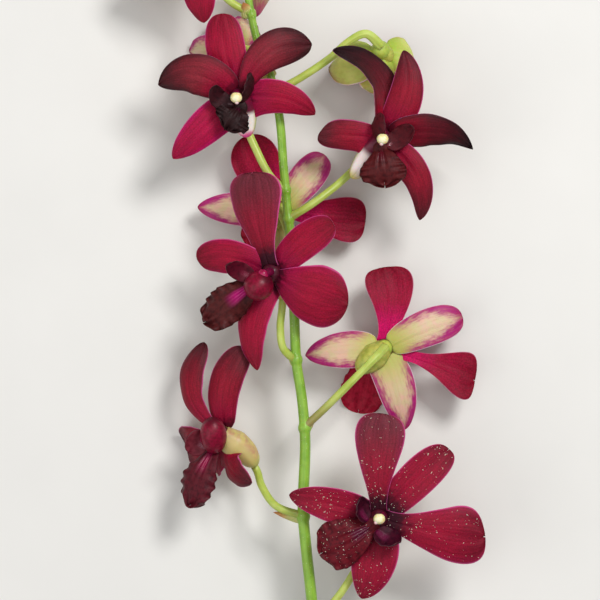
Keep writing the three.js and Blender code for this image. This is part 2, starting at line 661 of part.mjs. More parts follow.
function tepalsSolid(bloom, grow) {
  const blades = bloom.tepals.map((tepal) => {
    const grid = tepal.kind === "petal" ? PETAL_GRID : SEPAL_GRID;
    return bladeSolid(tepalBlade(bloom, tepal), grid, TEPAL_THICKNESS, grow);
  });
  return fused([hubSolid(bloom, grow), ...blades]);
}

// A side lobe that is folded over the column looks like a smooth ball.
function hoodSolid(bloom, dorsal) {
  const place = vector(bloom.centre).add(vector(bloom.hood.place));
  return ellipsoidSolid(place, dorsal, bloom.hood.across, bloom.hood.along, HUB_SIDES);
}

// The lip's claw starts at the foot of the column, on the side away from the dorsal sepal.
function lipSolid(bloom) {
  const facing = vector(bloom.facing).normalize();
  const centre = vector(bloom.centre);
  const dorsal = vector(bloom.dorsal);
  dorsal.addScaledVector(facing, -dorsal.dot(facing)).normalize();
  const claw = centre.clone().addScaledVector(facing, HUB_DEPTH + GAP).addScaledVector(dorsal, -LIP_OFFSET);
  const lipTip = centre.clone().add(vector(bloom.lip.tip));
  const mid = { ...bloom.lip, kind: "lip", root: claw, tip: lipTip, facing };
  const lobes = bloom.lobes.map((lobe) => {
    const tip = centre.clone().add(vector(lobe.tip));
    const axis = centre.clone().addScaledVector(facing, HUB_DEPTH);
    const inwards = axis.sub(tip).normalize();
    const root = claw.clone().addScaledVector(inwards, -LOBE_INSET).addScaledVector(facing, LOBE_RISE);
    const inner = inwards.clone().addScaledVector(facing, lobe.lean ?? 0).normalize();
    return { ...lobe, kind: "lobe", root, tip, facing: inner, arch: LOBE_ARCH };
  });
  const hoods = bloom.hood ? [hoodSolid(bloom, dorsal)] : [];
  return fused([
    ...hoods,
    bladeSolid(mid, LIP_GRID, LIP_THICKNESS, 0),
    ellipsoidSolid(claw, facing, LIP_FOOT_RADIUS, LIP_FOOT_DEPTH, CAP_SIDES),
    ...lobes.map((lobe) => bladeSolid(lobe, LOBE_GRID, LIP_THICKNESS, 0)),
  ]);
}

function columnSolid(bloom, grow) {
  const facing = vector(bloom.facing).normalize();
  const centre = vector(bloom.centre);
  const dorsal = vector(bloom.dorsal);
  dorsal.addScaledVector(facing, -dorsal.dot(facing)).normalize();
  const foot = centre.clone().addScaledVector(facing, HUB_DEPTH + GAP).addScaledVector(dorsal, COLUMN_OFFSET);
  const head = centre.clone().addScaledVector(facing, COLUMN_LENGTH).addScaledVector(dorsal, CAP_OFFSET);
  const middle = foot.clone().lerp(head, 0.5).addScaledVector(dorsal, COLUMN_BEND);
  return fused([
    tubeSolid([foot, middle, head], () => COLUMN_RADIUS + grow, COLUMN_SIDES, evenShares(COLUMN_STEPS)),
    ellipsoidSolid(head, facing, CAP_RADIUS + grow, CAP_DEPTH + grow, CAP_SIDES),
  ]);
}

// Buds

function budSolid(bud, grow) {
  const base = vector(bud.base);
  const tip = vector(bud.tip);
  const middle = base.clone().lerp(tip, 0.5);
  const chin = base.clone().lerp(tip, BUD_CHIN_PLACE);
  chin.z -= BUD_CHIN_DROP * bud.radius;
  const spur = [middle, middle.clone().lerp(chin, 0.5), chin];
  const radiusAt = (share) => valueAlong(BUD_PROFILE, share) * bud.radius + grow;
  const spurRadiusAt = (share) => valueAlong(BUD_CHIN_PROFILE, share) * bud.radius + grow;
  return fused([
    tubeSolid([base, middle, tip], radiusAt, BUD_SIDES, evenShares(BUD_STEPS)),
    tubeSolid(spur, spurRadiusAt, CHIN_SIDES, evenShares(BUD_CHIN_STEPS)),
  ]);
}

// The assembly. What rests on the surface is trimmed flat at z = 0.

const restBlock = new THREE.BoxGeometry(...REST_BLOCK);
restBlock.translate(0, 0, -REST_BLOCK[2] / 2);
const below = solidOf(restBlock);

function meshOf(name, solid, look) {
  const trimmed = solid.boundingBox().min[2] < 0 ? solid.subtract(below) : solid;
  const mesh = new THREE.Mesh(
    geometryOf(mainBody(trimmed)),
    new THREE.MeshStandardMaterial({ ...MATERIALS[look], metalness: 0 }),
  );
  mesh.name = name;
  return mesh;
}

const flowerStem = new THREE.Group();
flowerStem.add(meshOf("flower_stem", stemSolid(), "stem"));

BLOOMS.forEach((bloom, index) => {
  const name = "bloom_" + (index + 1);
  const around = tepalsSolid(bloom, GAP);
  const lip = clearOf(clearOf(lipSolid(bloom), around), columnSolid(bloom, GAP));
  const column = clearOf(columnSolid(bloom, 0), around);
  flowerStem.add(meshOf(name + "_tepals", tepalsSolid(bloom, 0), "tepal"));
  flowerStem.add(meshOf(name + "_lip", lip, "lip"));
  flowerStem.add(meshOf(name + "_column", column, "column"));
});

BUDS.forEach((bud, index) => {
  flowerStem.add(meshOf("bud_" + (index + 1), budSolid(bud, 0), "bud"));
});

flowerStem.position.set(...CENTRE_SHIFT);
export default flowerStem;
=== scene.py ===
"""A cut dendrobium orchid stem on a pale surface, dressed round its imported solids.

Sizes are millimetres in the part's own frame; settle() turns a point into the scene's metres.
"""

import logging
import math
import random
from dataclasses import dataclass, field
from enum import Enum
from typing import Callable, Sequence

import bpy
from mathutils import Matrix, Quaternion, Vector


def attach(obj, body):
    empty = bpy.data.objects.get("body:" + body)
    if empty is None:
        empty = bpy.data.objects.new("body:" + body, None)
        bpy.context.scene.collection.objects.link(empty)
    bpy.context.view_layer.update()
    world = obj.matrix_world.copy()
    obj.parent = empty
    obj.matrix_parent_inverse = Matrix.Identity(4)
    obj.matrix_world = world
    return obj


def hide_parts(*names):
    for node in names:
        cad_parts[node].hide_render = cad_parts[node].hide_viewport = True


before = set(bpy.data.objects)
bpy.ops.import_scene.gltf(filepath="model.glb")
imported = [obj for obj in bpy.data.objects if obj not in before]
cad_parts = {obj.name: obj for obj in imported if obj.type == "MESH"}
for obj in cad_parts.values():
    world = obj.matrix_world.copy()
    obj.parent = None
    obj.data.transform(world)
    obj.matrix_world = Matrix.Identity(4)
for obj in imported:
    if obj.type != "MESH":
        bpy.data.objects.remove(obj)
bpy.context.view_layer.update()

log = logging.getLogger("orchid")

Triple = tuple[float, float, float]
Colour = tuple[float, float, float, float]
Socket = bpy.types.NodeSocket
Value = Socket | float | Colour
Shades = tuple[float, float, float, float]

MM = 0.001
ORIGIN = Vector((-2.4, 11.04, 0.0))
SURFACE_SOFTNESS = 0.4
BLADE_MAP = "BladeMap"
BODY = "root"
SOFT = (0.3, 0.7)
MIDDLING = (0.35, 0.65)

TEPAL_THICKNESS = 0.62
LIP_THICKNESS = 0.75
RIM_THINNING = 0.72
GAP = 0.3
HUB_RADIUS = 3.4
HUB_DEPTH = 3.4
TEPAL_ROOT = 2.0
PETAL_LAYER = 0.9
CHIN_RADII = (2.4, 3.3, 2.8, 1.4)
LIP_OFFSET = 3.4
LIP_FOOT_RADIUS = 2.9
LOBE_ARCH = -1.8
COLUMN_OFFSET = 1.6
COLUMN_LENGTH = 7.5
COLUMN_RADIUS = 1.5
CAP_RADIUS = 2.0
PEDICEL_RADIUS = 1.4
OVARY_RADIUS = 1.8
RING_SWELL = 0.45
RING_HALF_LENGTH = 1.3
RIB_DEPTH = 0.35
PETAL_RIPPLE = 0.3
SEPAL_RIPPLE = 0.16
KEEL_HEIGHT = 0.35
WEB_REACH = 0.86
WEB_DEPTH = 0.8
CHIN_BEND = 1.2
LIP_FOOT_DEPTH = 0.9
LOBE_INSET = 2.32
LOBE_RISE = 0.2
COLUMN_BEND = 0.4
CAP_OFFSET = 0.9
CAP_DEPTH = 1.6
BEAK_DROP = 1.5
BEAK_REACH = 0.7
BEAK_RADIUS = 0.75
BEAK_DEPTH = 0.55
BRACT_THICKNESS = 0.5
BRACT_CUP = -0.9
BUD_STALK_RADIUS = 1.12
BUD_STALK_RISE = 0.8
BUD_STALK_END = 0.8
BUD_CHIN_PLACE = 0.25
BUD_CHIN_DROP = 1.15
BUD_CHIN_PROFILE = (0.7, 0.6, 0.4)
NOTCH_POWER = 8
NOTCH_SPREAD = 1.6
SLANT_POWER = 4
CLAW_POWER = 3
WEB_POWER = 5
SIDE_THINNING_POWER = 5
TIP_THINNING_POWER = 10
RUFFLE_HALF_TURNS = 3
FRILL_SHIFT = 1.7
FRILL_RISE = (0.1, 0.45)
TIP_RIPPLES = 1.6
TIP_RIPPLE_POWER = 6
RIB_WIDTH = 0.09
KEEL_BAND = 0.5
KEEL_RISE = (0.5, 0.4)
KEEL_END = (0.75, 0.3)
CHIN_SCOOP_RISE = (0.05, 0.4)
CHIN_ROUND_FROM = 0.85
CHIN_ROUNDING = 0.15
LEAST_RADIUS = 0.02
LOBE_RIPPLE = 0.2
LOBE_RIPPLES = 3.0
COLUMN_HOLLOW = 0.2
COLUMN_HOLLOW_RISE = (0.2, 0.6)
COLUMN_FULLNESS = 1.06
COLUMN_HOOD = 0.1
COLUMN_HOOD_RISE = (0.7, 1.0)
CAP_FULLNESS = 1.02
CAP_CREASE = 0.1
CAP_CREASE_POWER = 12
CAP_NARROWING = 0.12
STEM_WAVE_DEPTH = 0.035
STEM_WAVES = 31
STEM_RIB_DEPTH = 0.02
STEM_RIBS = 9
STALK_FULLNESS = 0.97
STALK_RIBS = 6
STALK_RIB_DEPTH = 0.06
STALK_RIB_RISE = (0.45, 0.85)
STALK_FLARE = 0.55
STALK_FLARE_LENGTH = 0.035
STALK_SINK = 0.5
BRACT_RIPPLE = 0.15
BRACT_RIPPLES = 2.0
FLECK_LEAST = 0.07
FLECK_SPREAD = 0.14
FLECK_LIFT = 0.02
FLECK_FLATNESS = 0.6
FLECK_STRETCH = (0.9, 2.4)
FLECK_GRAIN = Vector((0.31, 0.87, 0.38))


def settle(point: Vector) -> Vector:
    """Puts a point of the part into the scene.

    Args:
        point: A point in millimetres in the part's frame.

    Returns:
        The point in metres, eased upwards where it would go through the surface.
    """
    spot = point + ORIGIN
    if spot.z < SURFACE_SOFTNESS:
        spot.z = SURFACE_SOFTNESS * math.exp((spot.z - SURFACE_SOFTNESS) / SURFACE_SOFTNESS)
    return spot * MM


def tone(red: float, green: float, blue: float) -> Colour:
    """Turns a display colour of 0 to 255 into the shader's linear colour."""

    def linear(level: float) -> float:
        """Undoes the display curve for one channel."""
        share = level / 255
        return share / 12.92 if share <= 0.04045 else ((share + 0.055) / 1.055) ** 2.4

    return (linear(red), linear(green), linear(blue), 1.0)


def smooth(value: float, start: float, end: float) -> float:
    """Returns 0 before start and 1 after end, with a smooth rise between them."""
    share = min(1.0, max(0.0, (value - start) / (end - start)))
    return share * share * (3 - 2 * share)


def value_along(values: Sequence[float], share: float) -> float:
    """Reads a row of values at a share of its length, straight between neighbours."""
    place = min(1.0, max(0.0, share)) * (len(values) - 1)
    index = min(int(place), len(values) - 2)
    return values[index] + (values[index + 1] - values[index]) * (place - index)


def even(steps: int) -> list[float]:
    """Returns shares from 0 to 1 in even steps."""
    return [step / steps for step in range(steps + 1)]


def rounded(steps: int) -> list[float]:
    """Returns shares from 0 to 1 that crowd towards both ends."""
    return [(1 - math.cos(math.pi * step / steps)) / 2 for step in range(steps + 1)]


def square_to(direction: Vector, axis: Vector) -> Vector:
    """Returns the unit part of a direction that stands square to a unit axis."""
    return (direction - axis * direction.dot(axis)).normalized()


class Kind(Enum):
    """The five places a tepal can take in a bloom."""

    PETAL = "petal"
    DORSAL = "dorsal sepal"
    LATERAL = "lateral sepal"


class Shade(Enum):
    """How far a tepal's face has darkened."""

    CRIMSON = "crimson"
    MAGENTA = "magenta"
    DUSKY = "dusky"
    DUSTY = "dusty"
    BLOTCHED = "blotched"
    SMOKED = "smoked"
    BLACKENED = "blackened"


class Backing(Enum):
    """What the backs of a bloom's sepals look like."""

    MOTTLED = "mottled"
    GREEN = "green"


class Slot(Enum):
    """The record's material slots."""

    STEM = "green_stem"
    TEPAL = "crimson_tepal"
    PALE = "pale_back"
    LIP = "dark_lip"
    COLUMN = "cream_column"
    BUD = "flushed_bud"


class Board:
    """The node tree of one material, wired with short calls."""

    SWAY = 0.09
    SWAY_SIZE = 0.32
    SWAY_STRETCH = (0.8, 1.6, 1.0)

    def __init__(self, name: str) -> None:
        """Starts a material with its shader."""
        self.material = bpy.data.materials.new(name)
        self.material.use_nodes = True
        self.tree = self.material.node_tree
        self.shader = self.tree.nodes["Principled BSDF"]
        self._spots: dict[str, Socket] = {}

    def set(self, **values: float | Colour) -> None:
        """Sets sockets of the shader; a socket's spaces are written as underscores."""
        for name, value in values.items():
            self.shader.inputs[name.replace("_", " ")].default_value = value

    def wire(self, socket: Socket, value: Value) -> None:
        """Links a socket, or sets it where the value is a plain one."""
        if isinstance(value, bpy.types.NodeSocket):
            self.tree.links.new(value, socket)
        else:
            socket.default_value = value

    def add(self, kind: str, **settings: str | float | bool) -> bpy.types.Node:
        """Adds a node and sets its properties."""
        node = self.tree.nodes.new(kind)
        for name, value in settings.items():
            setattr(node, name, value)
        return node

    def maths(self, operation: str, first: Value, second: Value = 0.0) -> Socket:
        """Returns the result of one operation on one or two numbers."""
        node = self.add("ShaderNodeMath", operation=operation)
        self.wire(node.inputs[0], first)
        self.wire(node.inputs[1], second)
        return node.outputs[0]

    def blend(self, share: Value, low: Value, high: Value, way: str = "MIX") -> Socket:
        """Returns a colour that goes from low to high with a share."""
        node = self.add("ShaderNodeMix", data_type="RGBA", blend_type=way)
        self.wire(node.inputs[0], share)
        self.wire(node.inputs[6], low)
        self.wire(node.inputs[7], high)
        return node.outputs[2]

    def band(self, value: Value, start: float, end: float, low: float = 0.0, high: float = 1.0) -> Socket:
        """Returns low before start and high after end, with a smooth rise between them."""
        node = self.add("ShaderNodeMapRange", interpolation_type="SMOOTHSTEP")
        for socket, number in zip(node.inputs, (value, start, end, low, high)):
            self.wire(socket, number)
        return node.outputs[0]

    def spot(self, name: str) -> Socket:
        """Returns the blade's own coordinates ("x" across, "y" along) or the object's ("object")."""
        if name not in self._spots:
            place = self.add("ShaderNodeUVMap", uv_map=BLADE_MAP)
            parts = self.add("ShaderNodeSeparateXYZ")
            self.tree.links.new(place.outputs[0], parts.inputs[0])
            self._spots.update(x=parts.outputs[0], y=parts.outputs[1], blade=place.outputs[0])
            self._spots["object"] = self.add("ShaderNodeTexCoord").outputs["Object"]
        return self._spots[name]

    def stretched(self, name: str, stretch: Triple) -> Socket:
        """Returns coordinates scaled by a different number each way."""
        node = self.add("ShaderNodeMapping")
        self.wire(node.inputs["Vector"], self.spot(name))
        node.inputs["Scale"].default_value = stretch
        return node.outputs[0]

    def noise(self, size: float, detail: float = 3.0, where: Socket | None = None) -> Socket:
        """Returns a soft random value whose features are size millimetres across."""
        node = self.add("ShaderNodeTexNoise")
        self.wire(node.inputs["Vector"], where or self.spot("object"))
        node.inputs["Scale"].default_value = 1 / (size * MM) if where is None else 1 / size
        node.inputs["Detail"].default_value = detail
        return node.outputs[0]

    def edge(self) -> Socket:
        """Returns 0 on a blade's midline and 1 on its edges."""
        centred = self.maths("MULTIPLY_ADD", self.spot("x"), 2.0)
        centred.node.inputs[2].default_value = -1.0
        return self.maths("ABSOLUTE", centred)

    def times(self, first: Value, second: Value) -> Socket:
        """Returns the product of two numbers."""
        return self.maths("MULTIPLY", first, second)

    def swayed(self, value: Socket, noise: Socket, amount: float) -> Socket:
        """Returns a value that a noise moves up and down."""
        return self.maths("ADD", value, self.times(self.maths("SUBTRACT", noise, 0.5), amount))

    def pressed(self, height: Socket, lines: Socket, depth: float) -> Socket:
        """Returns a height with lines pressed into it."""
        return self.maths("SUBTRACT", height, self.times(lines, depth))

    def shaded(self, body: Socket, value: Socket, shades: Shades) -> Socket:
        """Returns a colour that a value darkens and lightens between two limits."""
        return self.blend(1.0, body, self.band(value, *shades), "MULTIPLY")

    def flesh(self, share: float, depth: float) -> None:
        """Lets light into the surface, to a depth in millimetres."""
        self.set(Subsurface_Weight=share, Subsurface_Scale=depth * MM)

    def veins(self, count: float, sharpness: float) -> Socket:
        """Returns lines along a blade that gather at its base and its tip.

        Args:
            count: How many veins lie across the blade.
            sharpness: A larger number makes narrower veins.

        Returns:
            1 on a vein and 0 between veins.
        """
        sway = self.noise(self.SWAY_SIZE, 2.0, self.stretched("blade", self.SWAY_STRETCH))
        shifted = self.maths("ADD", self.spot("x"), self.times(sway, self.SWAY))
        wave = self.maths("ABSOLUTE", self.maths("COSINE", self.times(shifted, math.pi * count)))
        return self.maths("POWER", wave, sharpness)

    def bump(self, height: Socket, depth: float, strength: float = 1.0) -> None:
        """Gives the shader a relief of a depth in millimetres."""
        node = self.add("ShaderNodeBump")
        node.inputs["Strength"].default_value = strength
        node.inputs["Distance"].default_value = depth * MM
        self.wire(node.inputs["Height"], height)
        self.wire(self.shader.inputs["Normal"], node.outputs[0])

    def colour(self, value: Value) -> None:
        """Gives the shader its colour."""
        self.wire(self.shader.inputs["Base Color"], value)


class Finish:
    """A finish whose material is made once and shared."""

    _made: dict[str, bpy.types.Material] = {}

    def material(self) -> bpy.types.Material:
        """Returns the finish's material, and makes it on the first call."""
        if self.name not in Finish._made:
            board = Board(self.name)
            self.paint(board)
            Finish._made[self.name] = board.material
        return Finish._made[self.name]

    def paint(self, board: Board) -> None:
        """Wires the finish's nodes."""
        raise NotImplementedError


@dataclass(frozen=True)
class TepalFace(Finish):
    """The velvety face of a tepal, from its base to its tip."""

    name: str
    base: Colour
    heart: Colour
    tip: Colour
    margin: Colour
    throat: Colour
    dark_from: float
    dark_to: float
    throat_reach: float = 0.16
    # The rim colour is partly the tepal's paler margin and partly a painted edge highlight.
    rim: Colour = tone(226, 92, 160)

    CLOUD_SIZE = 3.0
    GRAIN_SIZE = 0.45
    PATCH_SIZE = 1.6
    STREAK_SIZE = 0.045
    STREAK_STRETCH = (1.0, 0.14, 1.0)
    DRIFT = 0.22
    THROAT_DRIFT = 0.2
    MARGIN = (0.62, 1.0, 0.0, 0.55)
    # The edge band where the painted edge highlight and the paler margin are laid on.
    RIM = (0.93, 0.985, 0.0, 0.6)
    VEINS = (15.0, 5.0)
    VEIN_SHARE = 0.06
    VEIN_DEPTH = 0.3
    VEIN_TONE = tone(60, 5, 25)
    GRAIN_SHADES = (0.3, 0.75, 0.78, 1.2)
    STREAK_SHADES = (0.3, 0.7, 0.84, 1.14)
    ROUGHNESS = (0.3, 0.7, 0.46, 0.62)
    RELIEF = 0.11

    def paint(self, board: Board) -> None:
        """Wires gradients along the blade, veins, grain, streaks and a bright hairline rim that is partly a
        paler margin and partly painted edge highlight.
        """
        along, edge = board.spot("y"), board.edge()
        grain = board.noise(self.GRAIN_SIZE)
        drift = board.swayed(along, board.noise(self.CLOUD_SIZE, 4.0), self.DRIFT)
        rounding = board.times(board.maths("POWER", edge, 3.0), self.DRIFT)
        body = board.blend(board.band(drift, 0.05, 0.5), self.base, self.heart)
        ripe = board.band(board.maths("ADD", drift, rounding), self.dark_from, self.dark_to)
        body = board.blend(ripe, body, self.tip)
        body = board.blend(board.band(edge, *self.MARGIN), body, self.margin)
        lines = board.veins(*self.VEINS)
        body = board.blend(board.times(lines, self.VEIN_SHARE), body, self.VEIN_TONE)
        body = board.shaded(body, grain, self.GRAIN_SHADES)
        streak = board.noise(self.STREAK_SIZE, 3.0, board.stretched("blade", self.STREAK_STRETCH))
        body = board.shaded(body, streak, self.STREAK_SHADES)
        reach = board.swayed(along, board.noise(self.PATCH_SIZE), self.THROAT_DRIFT)
        body = board.blend(board.band(reach, self.throat_reach, self.throat_reach * 0.3), body, self.throat)
        # Paints the hairline rim: a paler margin together with a painted edge highlight.
        board.colour(board.blend(board.band(edge, *self.RIM), body, self.rim))
        board.wire(board.shader.inputs["Roughness"], board.band(grain, *self.ROUGHNESS))
        board.set(Specular_IOR_Level=0.14, Sheen_Weight=0.015, Sheen_Roughness=0.3)
        board.set(Sheen_Tint=tone(220, 60, 110))
        board.flesh(0.12, 1.2)
        board.bump(board.pressed(grain, lines, self.VEIN_DEPTH), self.RELIEF, 0.7)


@dataclass(frozen=True)
class PetalBack(Finish):
    """The brighter back of a petal, with darker veins."""

    name: str = "petal_back"
    base: Colour = tone(196, 8, 92)
    heart: Colour = tone(152, 8, 50)
    tip: Colour = tone(126, 12, 38)
    vein: Colour = tone(105, 8, 30)
    rim: Colour = tone(225, 150, 185)

    CLOUD_SIZE = 4.0
    DRIFT = 0.25
    GRAIN_SIZE = 0.5
    GRAIN_SHADES = (0.3, 0.75, 0.72, 1.28)
    VEINS = (11.0, 5.0)
    VEIN_BREAKS = (0.35, 0.7, 0.05, 0.34)
    VEIN_BREAK_SIZE = 2.4
    VEIN_DEPTH = 0.4
    RIM = (0.965, 0.99, 0.0, 0.6)
    RELIEF = 0.1

    def paint(self, board: Board) -> None:
        """Wires the gradient, the broken veins, a soft grain and the rim."""
        grain, edge = board.noise(self.GRAIN_SIZE), board.edge()
        drift = board.swayed(board.spot("y"), board.noise(self.CLOUD_SIZE), self.DRIFT)
        body = board.blend(board.band(drift, 0.15, 0.6), self.base, self.heart)
        body = board.blend(board.band(drift, 0.6, 1.0), body, self.tip)
        lines = board.veins(*self.VEINS)
        broken = board.times(lines, board.band(board.noise(self.VEIN_BREAK_SIZE), *self.VEIN_BREAKS))
        body = board.blend(broken, body, self.vein)
        body = board.shaded(body, grain, self.GRAIN_SHADES)
        board.colour(board.blend(board.band(edge, *self.RIM), body, self.rim))
        board.set(Roughness=0.5, Specular_IOR_Level=0.1)
        board.flesh(0.12, 1.2)
        board.bump(board.pressed(grain, lines, self.VEIN_DEPTH), self.RELIEF, 0.6)


@dataclass(frozen=True)
class SepalBack(Finish):
    """The cream back of a sepal: green at its base, mottled magenta along its margins."""

    name: str
    cream: Colour
    green: Colour
    blush: Colour
    blush_from: float
    blush_strength: float
    tip: Colour
    pink: Colour
    vein: Colour = tone(188, 150, 96)
    rim: Colour = tone(240, 215, 225)

    PINK_SIZE = 3.2
    PINK = (0.35, 0.7, 0.0, 0.7)
    BLOTCH_SIZE = 0.09
    BLOTCH_STRETCH = (1.7, 0.9, 1.0)
    BLOTCH_DRIFT = 0.85
    FINE_SIZE = 0.7
    FINE_DRIFT = 0.14
    TIP_DRIFT = (0.55, 1.0, 0.0, 0.6)
    BLUSH_WIDTH = 0.62
    BASE_HOLD = (0.05, 0.3)
    VEINS = (9.0, 5.0)
    VEIN_BREAKS = (0.35, 0.7, 0.0, 0.2)
    VEIN_BREAK_SIZE = 2.0
    VEIN_DEPTH = 0.4
    TIP = (0.86, 1.0, 0.0, 0.7)
    RIM = (0.95, 0.985, 0.0, 0.75)
    RELIEF = 0.12

    def paint(self, board: Board) -> None:
        """Wires the cream ground, the mottled margins, faint veins and the white rim."""
        along, edge = board.spot("y"), board.edge()
        pinkish = board.blend(board.band(board.noise(self.PINK_SIZE), *self.PINK), self.cream, self.pink)
        body = board.blend(board.band(along, 0.04, 0.55), self.green, pinkish)
        blotch = board.noise(self.BLOTCH_SIZE, 4.0, board.stretched("blade", self.BLOTCH_STRETCH))
        fine = board.noise(self.FINE_SIZE, 2.0)
        reach = board.swayed(board.swayed(edge, blotch, self.BLOTCH_DRIFT), fine, self.FINE_DRIFT)
        reach = board.maths("ADD", reach, board.band(along, *self.TIP_DRIFT))
        blush_to = self.blush_from + self.BLUSH_WIDTH
        margin = board.band(reach, self.blush_from, blush_to, 0.0, self.blush_strength)
        body = board.blend(board.times(margin, board.band(along, *self.BASE_HOLD)), body, self.blush)
        lines = board.veins(*self.VEINS)
        broken = board.times(lines, board.band(board.noise(self.VEIN_BREAK_SIZE), *self.VEIN_BREAKS))
        body = board.blend(broken, body, self.vein)
        body = board.blend(board.band(along, *self.TIP), body, self.tip)
        board.colour(board.blend(board.band(edge, *self.RIM), body, self.rim))
        board.set(Roughness=0.48, Specular_IOR_Level=0.3)
        board.flesh(0.2, 1.5)
        board.bump(board.pressed(fine, lines, self.VEIN_DEPTH), self.RELIEF, 0.6)


@dataclass(frozen=True)
class Rim(Finish):
    """The thin pale edge between a blade's two faces."""

    name: str
    colour: Colour
    shadow: Colour

    GRAIN_SIZE = 0.9

    def paint(self, board: Board) -> None:
        """Wires a pale tone broken by a fine grain."""
        board.colour(
            board.blend(board.band(board.noise(self.GRAIN_SIZE), *MIDDLING), self.shadow, self.colour),
        )
        board.set(Roughness=0.45)
        board.flesh(0.2, 1.0)


@dataclass(frozen=True)
class LipFlesh(Finish):
    """The lip's dark, crinkled face with a glossy stripe down its middle."""

    name: str
    ground: Colour
    ruffle: Colour
    stripe: Colour
    stripe_width: float
    stripe_reach: float

    CRINKLE_SIZE = 1.3
    FINE_SIZE = 0.3
    VEINS = (15.0, 3.0)
    VEIN_SHARE = 0.14
    VEIN_DEPTH = 0.2
    EDGE = (0.9, 1.0, 0.0, 0.45)
    ROUGHNESS = (0.0, 1.0, 0.46, 0.2)
    SHINE = (0.0, 1.0, 0.14, 0.5)
    RELIEF = 0.16

    def paint(self, board: Board) -> None:
        """Wires the ground, darker crinkles, forked veins and the stripe."""
        along, edge = board.spot("y"), board.edge()
        crinkle = board.noise(self.CRINKLE_SIZE, 5.0)
        fine = board.noise(self.FINE_SIZE, 2.0)
        body = board.blend(board.band(crinkle, 0.2, 0.62), self.ruffle, self.ground)
        lines = board.veins(*self.VEINS)
        body = board.blend(board.times(lines, self.VEIN_SHARE), body, self.ruffle)
        inner = board.band(edge, self.stripe_width, self.stripe_width * 0.3)
        near = board.band(along, self.stripe_reach, self.stripe_reach * 0.55)
        stripe = board.times(inner, near)
        body = board.blend(stripe, body, self.stripe)
        board.colour(board.blend(board.band(edge, *self.EDGE), body, self.ruffle))
        board.wire(board.shader.inputs["Roughness"], board.band(stripe, *self.ROUGHNESS))
        board.wire(board.shader.inputs["Specular IOR Level"], board.band(stripe, *self.SHINE))
        board.bump(board.pressed(board.maths("ADD", crinkle, fine), lines, self.VEIN_DEPTH), self.RELIEF, 0.6)


@dataclass(frozen=True)
class Heart(Finish):
    """The hub and the chin: flesh that is green behind and coloured in front."""

    name: str
    back: Colour
    shade: Colour
    front: Colour
    tip: Colour
    along_axis: bool
    neck: Colour | None = None

    HUB_FRONT = (0.12, 0.32)
    CHIN_FRONT = (0.5, 0.68)
    CHIN_TIP = (0.86, 1.06)
    NECK = (0.5, 0.34)
    MOTTLE_SIZE = 2.2
    RIBS = 7
    RIB_SHADES = (0.2, 1.0, 0.0, 0.18)
    RELIEF = 0.16

    def paint(self, board: Board) -> None:
        """Wires the two sides, a flushed tip and soft ribs.

        A hub's front lies at the end of its own axis, and a chin's front on one side of its tube.
        """
        along = board.spot("y")
        if self.along_axis:
            frontness = board.band(along, *self.HUB_FRONT)
        else:
            frontness = board.band(board.edge(), *self.CHIN_FRONT)
        mottle = board.noise(self.MOTTLE_SIZE, 4.0)
        behind = board.blend(board.band(mottle, *MIDDLING), self.back, self.shade)
        ribs = board.maths("SINE", board.times(board.spot("x"), self.RIBS * math.tau))
        behind = board.blend(board.band(ribs, *self.RIB_SHADES), behind, self.shade)
        body = board.blend(frontness, behind, self.front)
        if not self.along_axis:
            flush = board.maths("ADD", along, board.times(mottle, 0.15))
            body = board.blend(board.band(flush, *self.CHIN_TIP), body, self.tip)
        if self.neck:
            body = board.blend(board.band(along, *self.NECK), body, self.neck)
        board.colour(body)
        board.set(Roughness=0.42)
        board.flesh(0.22, 1.5)
        board.bump(board.maths("ADD", mottle, board.times(ribs, 0.4)), self.RELIEF, 0.6)


@dataclass(frozen=True)
class Wax(Finish):
    """Smooth waxy flesh: the column, its cap and the folded side lobes."""

    name: str
    low: Colour
    high: Colour
    tip: Colour
    gloss: float
    shine: float = 0.4
    glow: float = 0.25

    MOTTLE_SIZE = 0.9
    RELIEF = 0.1

    def paint(self, board: Board) -> None:
        """Wires a gradient along the piece with a soft mottle."""
        mottle = board.noise(self.MOTTLE_SIZE, 4.0)
        body = board.blend(board.band(mottle, *SOFT), self.low, self.high)
        board.colour(board.blend(board.band(board.spot("y"), 0.82, 1.0), body, self.tip))
        board.set(Roughness=1 - self.gloss, Specular_IOR_Level=self.shine)
        board.flesh(self.glow, 1.0)
        board.bump(mottle, self.RELIEF, 0.5)


